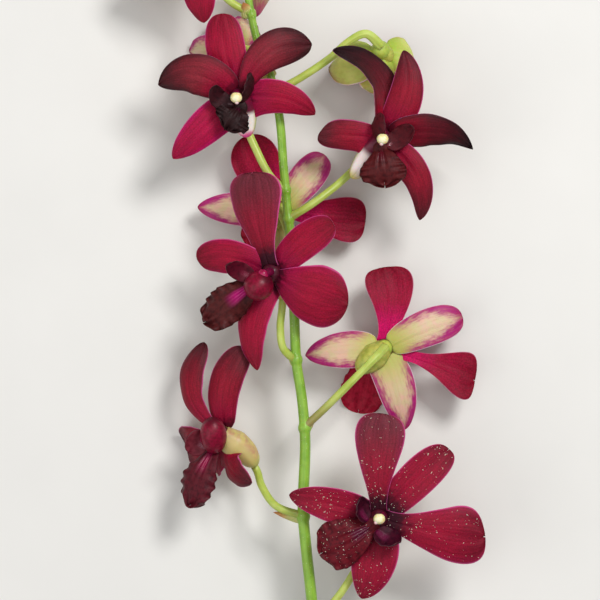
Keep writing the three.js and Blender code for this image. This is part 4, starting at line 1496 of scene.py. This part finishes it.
        draft = Draft(f"bloom_{self.number}_column_body")
        Tube(path, radius, even(18), 30, up).draw(draft, COLUMN_FLESH)
        draft.piece(Slot.COLUMN, f"bloom_{self.number}_column")
        draft = Draft(f"bloom_{self.number}_anther_cap")
        cap = ball(head, axis, CAP_RADIUS, CAP_DEPTH, 20)
        plain = cap.radius
        cap.radius = lambda share, angle: plain(share, angle) * (
            CAP_FULLNESS
            - CAP_CREASE * max(0.0, math.cos(angle)) ** CAP_CREASE_POWER
            - CAP_NARROWING * max(0.0, -math.cos(angle)) ** 2
        )
        cap.draw(draft, CAP_CREAM if self.cream_cap else CAP_CRIMSON)
        beak = head - up * BEAK_DROP + axis * BEAK_REACH
        ball(beak, axis, BEAK_RADIUS, BEAK_DEPTH, 8).draw(draft, BEAK_PINK if self.cream_cap else CAP_CRIMSON)
        draft.piece(Slot.COLUMN, f"bloom_{self.number}_column")


BLOOMS = (
    Bloom(
        number=1,
        centre=(27.5, -76, 29.5),
        facing=(-0.08, -0.1, 1),
        dorsal=(24.5, 24, -1),
        chin=(-4, -9, -7),
        tepals=(
            Tepal(
                Kind.PETAL, (1.2, 36.5, 3), 17.5, Shade.DUSTY, shape=Outlines.SPATULA, arch=1.5, cup=-1.2,
                bow=-0.8,
            ),
            Tepal(
                Kind.PETAL, (37, -6.5, 1), 20.5, Shade.BLOTCHED, shape=Outlines.SPATULA, arch=2.5, cup=-1.4,
                notch=1.2, bow=1.0, slant=1.5,
            ),
            Tepal(
                Kind.DORSAL, (24.5, 24, -1), 13, Shade.BLOTCHED, shape=Outlines.BLUNT, arch=1.5, cup=0.8,
                notch=1.2, bow=-0.6, slant=1.0,
            ),
            Tepal(Kind.LATERAL, (-31.3, 8, -1.5), 11.8, Shade.BLOTCHED, arch=1.5, cup=0.8, bow=0.6),
            Tepal(Kind.LATERAL, (-6, -28.2, -2.5), 15.5, Shade.BLOTCHED, arch=2, cup=-1.2, bow=-1.4),
        ),
        lip=Lip((-20.5, -12.5, 0.5), 17.5, LipTone.WINE, 2.5, -1.0, 0.9, notch=2.2),
        lobes=(SideLobe((-6.5, 7.5, 7.5), 8.5, 1.2, lean=0.3), SideLobe((7.5, -8, 7.5), 9.5, 1.2, lean=0.35)),
    ),
    Bloom(
        number=2,
        centre=(-27.3, -47.5, 18),
        facing=(-0.78, -0.3, 0.55),
        dorsal=(7, 31, 5),
        chin=(12.2, -10.8, -1),
        chin_size=1.55,
        chin_scoop=0.0,
        chin_finish=CHIN_BLUSHED,
        tepals=(
            Tepal(Kind.PETAL, (-6, 32.5, 0), 10, Shade.DUSKY, arch=5, bow=-6.5, roll=20, cup=-1.5),
            Tepal(Kind.PETAL, (-13, -3.5, -18.6), 14, Shade.DUSKY, arch=3, cup=1),
            Tepal(
                Kind.DORSAL, (8, 31, 3), 11.5, Shade.DUSKY, shape=Outlines.BLUNT, arch=3, bow=-3.5, roll=36,
                cup=-1.8, slant=1.5,
            ),
            Tepal(Kind.LATERAL, (10.5, -16.3, 6), 12.5, Shade.DUSKY, arch=3, bow=3, cup=-1.2),
            Tepal(Kind.LATERAL, (-2, -13.5, -14), 11, Shade.CRIMSON, arch=2.5, cup=0.8),
        ),
        lip=Lip((-11.5, -25, 1), 13, LipTone.MAROON, 3, -1.8, 0.9, notch=1.5, roll=-20),
        lobes=(SideLobe((-12.5, -1, 4), 9.5, 0.6, lean=0.8),),
        hood=Hood((-3, 0.2, 5), 4.7, 6.8),
        cream_cap=False,
    ),
    Bloom(
        number=3,
        centre=(29.4, -17, 16.5),
        facing=(-0.12, -0.12, -1),
        dorsal=(27.7, 10.9, -3),
        chin=(-9.5, -8, 2.5),
        chin_size=1.45,
        chin_finish=CHIN_GREEN,
        tepals=(
            Tepal(
                Kind.PETAL, (0.5, 28.5, -4), 17, Shade.CRIMSON, shape=Outlines.SPATULA, arch=-1.5, cup=-1.2,
                bow=-2.0, slant=1.0,
            ),
            Tepal(
                Kind.PETAL, (32, -11.3, -4), 16.5, Shade.CRIMSON, shape=Outlines.FAN, arch=-1.5, cup=-1.2,
                bow=0.6, slant=-2, notch=0.8,
            ),
            Tepal(
                Kind.DORSAL, (27.7, 11, -3.5), 13, Shade.CRIMSON, shape=Outlines.BLUNT, arch=-2, cup=0.8,
                bow=1,
            ),
            Tepal(Kind.LATERAL, (-27.5, -2.5, -3), 12.5, Shade.CRIMSON, arch=-2, cup=0.8, bow=-0.6),
            Tepal(Kind.LATERAL, (7.5, -28.5, -5), 13, Shade.CRIMSON, arch=-2.5, cup=0.8, bow=0.6),
        ),
        lip=Lip((-8.8, -23, -17.2), 16, LipTone.CRIMSON, 3, -1, 0.9, notch=1.2),
        lobes=(SideLobe((-7, 0.5, -9.5), 7, 0.6), SideLobe((4, -7.5, -9.5), 7, 0.6)),
    ),
    Bloom(
        number=4,
        centre=(-9.8, 9.5, 31),
        facing=(-0.5, -0.18, 0.85),
        dorsal=(21.5, 16.5, 8),
        chin=(3.5, -9.5, -5),
        tepals=(
            Tepal(
                Kind.PETAL, (-6.8, 35, 2), 21, Shade.DUSTY, shape=Outlines.SPATULA, arch=1.5, bow=-0.6,
                cup=-1.4, notch=1,
            ),
            Tepal(Kind.PETAL, (26.5, -11, 7), 22.5, Shade.CRIMSON, arch=2.5, cup=-2, bow=1),
            Tepal(
                Kind.DORSAL, (21.4, 17, 8.5), 12, Shade.CRIMSON, shape=Outlines.BLUNT, arch=1.5, cup=-0.8,
                bow=-1.4,
            ),
            Tepal(
                Kind.LATERAL, (-26, 4.5, -9), 12, Shade.CRIMSON, shape=Outlines.BLUNT, arch=2.5, bow=3.5,
                cup=-1,
            ),
            Tepal(Kind.LATERAL, (-5, -34, -5.5), 11.5, Shade.CRIMSON, arch=2, bow=4.5, cup=-1.4),
        ),
        lip=Lip((-23.8, -17.4, -4), 13.5, LipTone.STRIPED, 2, -1.6, 1.8, notch=2.4),
        lobes=(SideLobe((-15.8, 2.6, 6.5), 6.4, 0.6, lean=0.9),),
        hood=Hood((-4.6, -4.6, 5), 5.1, 5.3),
        cream_cap=False,
    ),
    Bloom(
        number=5,
        centre=(-7, 31.5, 11.5),
        facing=(0.05, 0, -1),
        dorsal=(16, 19.5, -3),
        chin=(-5, -8, 1),
        chin_finish=CHIN_GREEN,
        tepals=(
            Tepal(Kind.PETAL, (-12.5, 26, -3), 17, Shade.CRIMSON, arch=-1, cup=-1),
            Tepal(Kind.PETAL, (30, -4, -3), 16, Shade.CRIMSON, shape=Outlines.SPATULA, arch=-1, cup=-1),
            Tepal(
                Kind.DORSAL, (15.8, 19.5, -3.5), 12, Shade.CRIMSON, shape=Outlines.BLUNT, arch=-1.5,
                cup=0.8,
            ),
            Tepal(Kind.LATERAL, (-29, 1.2, -2), 11.5, Shade.CRIMSON, arch=-1.5, cup=0.8),
            Tepal(Kind.LATERAL, (2, -27, -4), 10, Shade.CRIMSON, arch=-1.5, cup=0.8),
        ),
        lip=Lip((-10.5, -13.5, -7), 14, LipTone.CRIMSON, 2, -0.8, 0.5, notch=1.2),
        lobes=(SideLobe((-7.5, 1.5, -7.5), 6, 0.6), SideLobe((3.5, -6.5, -7.5), 6, 0.6)),
    ),
    Bloom(
        number=6,
        centre=(29.4, 56.5, 30),
        facing=(-0.12, -0.2, 0.97),
        dorsal=(7, 30, 1),
        chin=(-11.5, -14, -3.5),
        chin_size=1.35,
        chin_finish=CHIN_PALE,
        tepals=(
            Tepal(
                Kind.PETAL, (-17.9, 30.5, 4), 11.5, Shade.BLACKENED, shape=Outlines.SEPAL, arch=2, bow=10.5,
                roll=55, cup=1.2,
            ),
            Tepal(
                Kind.PETAL, (31, -3.6, -6), 11.5, Shade.BLACKENED, shape=Outlines.POINT, arch=4, bow=-6.5,
                cup=-1, roll=12,
            ),
            Tepal(Kind.DORSAL, (6.8, 30.5, 0), 11.5, Shade.DUSKY, arch=2.5, cup=-1.4, bow=4.2),
            Tepal(
                Kind.LATERAL, (-22.8, 1.5, -2), 10.5, Shade.DUSKY, shape=Outlines.BLUNT, arch=2, cup=-0.9,
                bow=0.5, slant=-3,
            ),
            Tepal(Kind.LATERAL, (12.5, -28.5, -6), 9.5, Shade.DUSKY, arch=3.5, bow=-5.5, cup=-1),
        ),
        lip=Lip((0.2, -16.8, 3), 16.5, LipTone.BROWN, 2.5, -1.2, 0.6, notch=1.5),
        lobes=(SideLobe((9.8, 3.8, 7), 7, 0.5, lean=1.0), SideLobe((-1.2, 8.5, 7), 6.5, 0.6)),
    ),
    Bloom(
        number=7,
        centre=(-21.4, 71, 30.5),
        facing=(-0.08, -0.22, 0.97),
        dorsal=(-4.6, 29.5, 1),
        chin=(3, -14.3, -3),
        chin_size=1.5,
        chin_finish=CHIN_WHITE,
        tepals=(
            Tepal(
                Kind.PETAL, (25.4, 18.2, 0), 13.5, Shade.SMOKED, shape=Outlines.PETAL, arch=4, bow=-6.5,
                cup=-1.4, slant=2.5,
            ),
            Tepal(
                Kind.PETAL, (-28, 4.2, -4), 14, Shade.SMOKED, shape=Outlines.SEPAL, arch=5, bow=6.5,
                cup=-1.4, slant=-4,
            ),
            Tepal(
                Kind.DORSAL, (-5.8, 28.8, 0), 13.6, Shade.CRIMSON, shape=Outlines.BLUNT, arch=2.5, cup=-1.2,
                bow=-1,
            ),
            Tepal(Kind.LATERAL, (-23, -21.5, -4), 11.8, Shade.MAGENTA, arch=3, cup=-1, bow=0.4),
            Tepal(Kind.LATERAL, (26.6, -6.3, -1), 11, Shade.CRIMSON, arch=3, cup=-1, bow=-3.6),
        ),
        lip=Lip((-4, -11, 5), 13.5, LipTone.BLACK, 2.5, -1.4, 1.2, notch=-1.5),
        lobes=(SideLobe((-7.8, 3.6, 7), 6.4, 0.3, lean=0.9, bow=-2.2), SideLobe((4, 8, 7.5), 6, 0.6)),
    ),
    Bloom(
        number=8,
        centre=(28.2, 87.5, 20.5),
        facing=(-0.12, -0.42, -0.9),
        dorsal=(-17.5, -3.5, -8),
        chin=(4, -4.5, -6.5),
        tepals=(
            Tepal(Kind.PETAL, (-7, -6, -20.9), 13, Shade.CRIMSON, arch=-2, cup=1),
            Tepal(Kind.PETAL, (5, -1, -20), 12, Shade.CRIMSON, arch=-2, cup=1),
            Tepal(Kind.DORSAL, (-18, -6, -9), 16.5, Shade.CRIMSON, arch=-4, cup=2.5, bow=2),
            Tepal(Kind.LATERAL, (2.5, -15, -10), 20, Shade.CRIMSON, arch=-4.5, cup=2.5),
            Tepal(Kind.LATERAL, (11.5, -6, -11), 15, Shade.CRIMSON, arch=-4.5, cup=2.5),
        ),
        lip=Lip((5, -8.5, -15.5), 9, LipTone.CRIMSON, -1, 1, 0.3),
        backing=Backing.GREEN,
        hub_finish=HUB_GREEN,
        chin_finish=CHIN_GREEN,
    ),
    Bloom(
        number=9,
        centre=(-24, 89, 14),
        facing=(-0.3, 0.1, -0.95),
        dorsal=(5, 20, -6),
        chin=(2, -8, 3),
        chin_finish=CHIN_GREEN,
        tepals=(
            Tepal(Kind.PETAL, (10, 3.5, -11.5), 11, Shade.CRIMSON, arch=-1.5, cup=-0.8),
            Tepal(Kind.PETAL, (-4, 8, -12), 11, Shade.CRIMSON, arch=-1.5, cup=-0.8),
            Tepal(Kind.DORSAL, (5, 10, -10), 10.5, Shade.CRIMSON, arch=-3, cup=0.8),
            Tepal(Kind.LATERAL, (-15, -1, -14.6), 11, Shade.CRIMSON, arch=-2.5, cup=0.8),
            Tepal(Kind.LATERAL, (11, -18, -7), 11, Shade.CRIMSON, arch=-2, cup=0.8),
        ),
        lip=Lip((-3, -15, -9), 12, LipTone.CRIMSON, 2, -0.8, 0.5),
    ),
    Bloom(
        number=10,
        centre=(-37, 121.5, 26.5),
        facing=(-0.3, -0.15, 0.94),
        dorsal=(6, 25, 3),
        chin=(4, -8.5, -5),
        tepals=(
            Tepal(Kind.PETAL, (-21, 15, -3), 15, Shade.CRIMSON, shape=Outlines.SPATULA, arch=2.5, cup=-1.2),
            Tepal(Kind.PETAL, (24, 11.5, 7), 15, Shade.DUSKY, shape=Outlines.SPATULA, arch=2, cup=-1.2),
            Tepal(Kind.DORSAL, (3, 26, 1), 12, Shade.CRIMSON, shape=Outlines.BLUNT, arch=2, cup=0.8),
            Tepal(Kind.LATERAL, (-21, -11, -5), 12, Shade.MAGENTA, arch=2.5, cup=0.8),
            Tepal(Kind.LATERAL, (3.5, -24.5, -3), 12.5, Shade.CRIMSON, arch=2, cup=-1),
        ),
        lip=Lip((-6.5, -14, 4), 13, LipTone.WINE, 2, -1.2, 0.6, notch=1.2),
        lobes=(SideLobe((-7, 3, 7), 6.5, 0.6), SideLobe((4, 1, 8), 6.5, 0.6)),
    ),
)


@dataclass(frozen=True)
class Bud:
    """An unopened bud on its own short stalk."""

    number: int
    base: Triple
    tip: Triple
    thickness: float
    node: Triple
    flushed: bool = False

    PROFILE = (0.45, 0.85, 1.0, 0.86, 0.5, 0.14)

    def build(self) -> None:
        """Builds the bud with its three seams and its chin."""
        draft = Draft(f"bud_{self.number}_closed")
        base, tip = Vector(self.base), Vector(self.tip)
        middle = base.lerp(tip, 0.5)
        skin = FLUSHED_BUD if self.flushed else GREEN_BUD

        def radius(share: float, angle: float) -> float:
            """Returns the bud's radius, creased along three seams and closed at its tip."""
            seam = 1 - 0.07 * abs(math.cos(1.5 * angle)) ** 14
            closing = math.sqrt(max(0.0, 1 - max(0.0, (share - 0.9) / 0.1) ** 2))
            return value_along(self.PROFILE, share) * self.thickness * seam * closing + 0.02

        Tube(Path([base, middle, tip]), radius, rounded(40), 36).draw(draft, skin)
        chin = base.lerp(tip, BUD_CHIN_PLACE) - Vector((0.0, 0.0, BUD_CHIN_DROP * self.thickness))

        def chin_radius(share: float, _: float) -> float:
            """Returns the radius of the bud's chin, rounded at its end."""
            closing = math.sqrt(max(0.0, 1 - max(0.0, (share - 0.7) / 0.3) ** 2))
            return value_along(BUD_CHIN_PROFILE, share) * self.thickness * closing + 0.02

        spur = Path([middle, middle.lerp(chin, 0.5), chin])
        Tube(spur, chin_radius, rounded(20), 28, (tip - base).normalized()).draw(draft, skin)
        draft.piece(Slot.BUD, f"bud_{self.number}")


GREEN_BUD = BudSkin("bud_green", tone(172, 190, 84), tone(164, 60, 96), 0.75)
FLUSHED_BUD = BudSkin("bud_flushed", tone(190, 176, 110), tone(190, 70, 120), 0.45)
BUDS = (
    Bud(1, (-12.5, 119, 21), (-15.2, 99.5, 15), 5.0, (-19.8, 114, 23.4), flushed=True),
    Bud(2, (-33, 141.5, 21.5), (-42.5, 148.5, 17.5), 4.3, (-22.2, 131, 24.2), flushed=True),
    Bud(3, (-12.5, 146.5, 21.5), (-4.5, 153, 17.5), 3.8, (-22.4, 140.5, 24.9)),
    Bud(4, (-28, 152, 27.5), (-33, 159, 27), 3.0, (-22, 147, 25.5)),
    Bud(5, (-20.8, 156.5, 26.8), (-19, 164, 26.6), 2.6, (-21.6, 151, 26)),
)


@dataclass(frozen=True)
class Bract:
    """A small papery bract at a node."""

    root: Triple
    tip: Triple
    width: float


RACHIS_SKIN = StemSkin(
    "rachis_skin", tone(122, 166, 42), tone(146, 188, 62), tone(92, 136, 28), tone(104, 140, 44), 0.02, 9.0,
    0.7,
)
STALK_SKIN = StemSkin(
    "stalk_skin", tone(170, 188, 74), tone(192, 206, 102), tone(148, 166, 58), tone(136, 146, 52), 0.16,
    6.0, 0.35,
)
BLUSHED_STALK_SKIN = StemSkin(
    "stalk_skin_blushed", tone(168, 186, 72), tone(192, 208, 104), tone(146, 164, 58), tone(138, 108, 72),
    0.5, 6.0, 0.35,
)
CUT_FACE = Wax("cut_face", tone(196, 206, 140), tone(214, 220, 166), tone(206, 212, 150), 0.4)
PAPER = BractPaper()
DUST = Dust()


@dataclass(frozen=True)
class Stem:
    """The rachis with its rings, the flower stalks, the bud stalks and the bracts."""

    line: tuple[tuple[float, float, float, float], ...]
    stalks: tuple[tuple[Triple, ...], ...]
    bracts: tuple[Bract, ...]
    bare_nodes: tuple[Triple, ...]
    blushed: int

    NODE = "flower_stem"

    def rachis(self) -> Path:
        """Returns the stem's centre line."""
        return Path([Vector(station[:3]) for station in self.line])

    def nodes(self) -> list[float]:
        """Returns where the rings lie, as shares of the stem's length."""
        path = self.rachis()
        feet = [*self.bare_nodes, *(stalk[0] for stalk in self.stalks)]
        return [path.nearest(Vector(foot)) for foot in feet]

    def radius(self, share: float, angle: float, nodes: Sequence[float], length: float) -> float:
        """Returns the rachis's radius with its rings and slight unevenness."""
        plain = value_along([station[3] for station in self.line], share)
        swell = sum(math.exp(-abs((share - node) * length / RING_HALF_LENGTH) ** 3) for node in nodes)
        waves = STEM_WAVE_DEPTH * math.sin(STEM_WAVES * share + 2 * angle)
        uneven = waves + STEM_RIB_DEPTH * math.cos(STEM_RIBS * angle)
        return plain + RING_SWELL * min(1.0, swell) + uneven

    def build(self) -> None:
        """Builds and dresses the stem's pieces."""
        path, nodes = self.rachis(), self.nodes()
        length = path.lengths[-1]
        draft = Draft("stem_rachis")
        reach = RING_HALF_LENGTH / length
        close = {node + reach * step / 4 for node in nodes for step in range(-8, 9)}
        stations = sorted({*even(300), *(share for share in close if 0 < share < 1)})
        Tube(path, lambda share, angle: self.radius(share, angle, nodes, length), stations, 28).draw(
            draft, RACHIS_SKIN, CUT_FACE
        )
        draft.piece(Slot.STEM, self.NODE)
        self.build_stalks()
        self.build_bracts()

    def build_stalks(self) -> None:
        """Builds the flower stalks, which swell towards their ovaries, and the bud stalks."""
        draft = Draft("stem_flower_stalks")

        def radius(share: float, angle: float) -> float:
            """Returns a stalk's radius: a flared foot, six soft ribs and the ovary."""
            plain = value_along((PEDICEL_RADIUS, PEDICEL_RADIUS, PEDICEL_RADIUS, OVARY_RADIUS), share)
            ribs = 1 + STALK_RIB_DEPTH * math.cos(STALK_RIBS * angle) * smooth(share, *STALK_RIB_RISE)
            return plain * ribs * STALK_FULLNESS + STALK_FLARE * math.exp(-share / STALK_FLARE_LENGTH)

        for number, (bloom, stalk) in enumerate(zip(BLOOMS, self.stalks), start=1):
            end = bloom.middle() - bloom.axis() * (HUB_DEPTH - STALK_SINK)
            path = Path([*(Vector(point) for point in stalk), end])
            skin = BLUSHED_STALK_SKIN if number == self.blushed else STALK_SKIN
            Tube(path, radius, even(48), 24).draw(draft, skin)
        for bud in BUDS:
            foot, base = Vector(bud.node), Vector(bud.base)
            middle = foot.lerp(base, 0.5) + Vector((0.0, 0.0, BUD_STALK_RISE))
            end = base + (Vector(bud.tip) - base).normalized() * BUD_STALK_END
            Tube(Path([foot, middle, end]), lambda share, angle: BUD_STALK_RADIUS, even(24), 18).draw(
                draft, STALK_SKIN
            )
        draft.piece(Slot.STEM, self.NODE)

    def build_bracts(self) -> None:
        """Builds the papery bracts at the nodes."""
        draft = Draft("stem_bracts")
        for order, bract in enumerate(self.bracts):
            Blade(
                root=Vector(bract.root),
                tip=Vector(bract.tip),
                facing=Vector((0.0, 0.0, 1.0)),
                outline=Outlines.BRACT,
                width=bract.width,
                thickness=BRACT_THICKNESS,
                cup=BRACT_CUP,
                ripple=BRACT_RIPPLE,
                ripples=BRACT_RIPPLES,
                phase=1.1 * order,
            ).draw(draft, Faces(PAPER, PAPER, PAPER), 20, 14)
        draft.piece(Slot.STEM, self.NODE)


@dataclass(frozen=True)
class Flecks:
    """Small pale flecks scattered over the lowest bloom and the stem."""

    bloom: Bloom
    stem: Stem
    seed: int = 7
    on_each_tepal: int = 80
    on_stem: int = 46

    def fleck(self, draft: Draft, place: Vector, outwards: Vector, dice: random.Random) -> None:
        """Adds one fleck that lies on a surface in a random direction."""
        size = FLECK_LEAST + FLECK_SPREAD * dice.random() ** 3
        turn = Quaternion(outwards, dice.uniform(0, math.tau))
        lengthwise = square_to(FLECK_GRAIN, outwards)
        lengthwise.rotate(turn)
        length = size * dice.uniform(*FLECK_STRETCH)
        speck = ball(place + outwards * FLECK_LIFT, lengthwise, size * FLECK_FLATNESS, length, 5)
        speck.draw(draft, DUST)

    def build(self) -> None:
        """Scatters the flecks."""
        dice = random.Random(self.seed)
        draft = Draft("pale_flecks_on_bloom")
        tepals = [blade for _, blade in self.bloom.blades()]
        for blade in [*tepals, self.bloom.lip_blade()]:
            for _ in range(self.on_each_tepal):
                along, across = dice.uniform(0.04, 0.97), dice.uniform(-0.94, 0.94)
                front, back = blade.pair(along, across)
                self.fleck(draft, front, (front - back).normalized(), dice)
        draft.piece(Slot.TEPAL)
        draft = Draft("pale_flecks_on_stem")
        path = self.stem.rachis()
        nodes, length = self.stem.nodes(), path.lengths[-1]
        for count in range(self.on_stem):
            near = dice.choice(nodes) + dice.gauss(0.0, 0.012)
            share = min(0.99, max(0.01, near if count % 3 else dice.random()))
            heading = path.heading(share)
            over = square_to(Vector((dice.gauss(0, 1), 0.0, abs(dice.gauss(0, 1)) + 0.3)), heading)
            place = path.at(share) + over * self.stem.radius(share, 0.0, nodes, length)
            self.fleck(draft, place, over, dice)
        draft.piece(Slot.STEM)


STEM = Stem(
    line=(
        (10.5, -186, 1.85, 2.15),
        (9.4, -173, 1.88, 2.12),
        (8.2, -158, 3.9, 2.08),
        (7.1, -143, 8.3, 2.05),
        (5.8, -126, 14.5, 2.0),
        (4.1, -105, 19.5, 1.97),
        (2.1, -86.5, 21.5, 1.95),
        (1.1, -74, 22, 1.92),
        (1.8, -49, 22, 1.88),
        (0.6, -34, 22, 1.85),
        (-1.2, -22, 22, 1.8),
        (-2, -5, 22, 1.74),
        (-2.6, 15, 22, 1.7),
        (-4.5, 33, 22.3, 1.62),
        (-5.7, 46, 22.6, 1.56),
        (-7.2, 64, 23, 1.5),
        (-10.5, 79, 23, 1.46),
        (-15.2, 91.5, 23, 1.42),
        (-18, 105, 23.2, 1.36),
        (-21, 121, 23.6, 1.28),
        (-22.5, 137, 24.6, 1.15),
        (-21.5, 152, 26, 1.0),
    ),
    stalks=(
        ((5, -112, 18.2), (12, -105.5, 21), (18.5, -96, 22.2), (25, -83.5, 22.6)),
        ((1.1, -75.6, 22), (-8.5, -72, 21.6), (-13.5, -65, 17.5), (-15.4, -59.5, 14)),
        ((1.5, -44.5, 22), (8, -38.5, 24.6), (20, -26.5, 25.2), (27, -19.5, 23.8)),
        ((-1.3, -21.4, 22), (-5.8, -17, 24.3), (-6.9, -10, 24.6), (-6.2, -2, 24.4), (-6, 6, 25.5)),
        ((-2.9, 18, 22), (-3.8, 22, 18.8), (-5.5, 27.5, 17.4)),
        ((-3.9, 28.8, 22.2), (4, 33.5, 22.5), (16, 43, 19.6), (25, 53, 20.8)),
        ((-5.6, 38.5, 22.5), (-10.5, 43.5, 22.6), (-15.5, 53, 21.4), (-19.2, 62, 21.8)),
        ((-8.9, 73, 23), (-1, 77, 24), (10.5, 84.6, 24.6), (17, 90.3, 25.8), (23, 93, 26)),
        ((-13.2, 86.8, 23), (-17, 87.5, 20.8), (-20.5, 88.3, 19.6)),
        ((-17.2, 100.2, 23.1), (-24.5, 104.5, 23.8), (-30, 111, 22.2), (-34.6, 118, 21.2)),
    ),
    bracts=(
        Bract((1.4, -76.6, 22.4), (-9.4, -74.3, 21.4), 3.4),
        Bract((1.5, -45.6, 23), (5.6, -40.6, 20.4), 3.2),
        Bract((-1.3, -22.4, 23), (-4.4, -16.8, 20.6), 3.2),
        Bract((-9.8, 77, 23), (-13.6, 83.6, 26.1), 4.4),
        Bract((-17.2, 98.6, 23.2), (-19.9, 104, 26.2), 4.6),
        Bract((-5.4, 37.2, 23), (-9.2, 40.8, 21.6), 3.2),
    ),
    bare_nodes=((8, -156, 4.3), (6.2, -131, 12.6)),
    blushed=3,
)


@dataclass(frozen=True)
class Softbox:
    """A large soft light aimed at the middle of the view."""

    name: str
    place: Triple
    size: float
    power: float


@dataclass(frozen=True)
class Studio:
    """The camera straight above the stem, the pale floor and the soft lights."""

    aim: Triple = (ORIGIN.x * MM, ORIGIN.y * MM, 0.022)
    distance: float = 2.0
    view_width: float = 0.21
    sensor: float = 36.0
    floor_size: float = 60.0
    lights: tuple[Softbox, ...] = (
        Softbox("key_light", (0.45, 0.55, 0.95), 0.35, 9.5),
        Softbox("fill_light", (-0.8, -0.3, 0.8), 0.9, 4.0),
        Softbox("top_light", (0.0, 0.1, 1.5), 1.0, 5.0),
    )

    def build(self) -> None:
        """Builds the camera, the lights, the surroundings and the floor."""
        self.build_camera()
        for light in self.lights:
            self.build_light(light)
        world = bpy.data.worlds.new("pale_room")
        world.use_nodes = True
        shade = world.node_tree.nodes["Background"]
        shade.inputs["Color"].default_value = tone(236, 238, 242)
        shade.inputs["Strength"].default_value = 0.25
        bpy.context.scene.world = world
        bpy.context.scene.view_settings.view_transform = "Standard"
        self.build_floor()

    def build_camera(self) -> None:
        """Places the camera so that the photograph's width spans the view at the stem's height."""
        camera = bpy.data.cameras.new("camera")
        camera.sensor_width = self.sensor
        camera.lens = self.sensor * self.distance / self.view_width
        camera.clip_end = 30.0
        made = bpy.data.objects.new("camera", camera)
        made.location = Vector(self.aim) + Vector((0.0, 0.0, self.distance))
        bpy.context.scene.collection.objects.link(made)
        bpy.context.scene.camera = made

    def build_light(self, light: Softbox) -> None:
        """Adds one softbox and turns it to the middle of the view."""
        lamp = bpy.data.lights.new(light.name, "AREA")
        lamp.size = light.size
        lamp.energy = light.power
        made = bpy.data.objects.new(light.name, lamp)
        made.location = light.place
        made.rotation_euler = (Vector(self.aim) - made.location).to_track_quat("-Z", "Y").to_euler()
        bpy.context.scene.collection.objects.link(made)

    def build_floor(self) -> None:
        """Adds the floor, which isn't part of the flower."""
        half = self.floor_size / 2
        mesh = bpy.data.meshes.new("floor")
        corners = [(-half, -half, 0.0), (half, -half, 0.0), (half, half, 0.0), (-half, half, 0.0)]
        mesh.from_pydata(corners, [], [(0, 1, 2, 3)])
        mesh.materials.append(Card().material())
        floor = bpy.data.objects.new("floor", mesh)
        bpy.context.scene.collection.objects.link(floor)


def main() -> None:
    """Builds the studio and every piece of the flower in order."""
    logging.basicConfig(level=logging.INFO, format="%(message)s")
    Studio().build()
    STEM.build()
    for bloom in BLOOMS:
        bloom.build()
    for bud in BUDS:
        bud.build()
    Flecks(BLOOMS[0], STEM).build()


if __name__ == "__main__":
    main()
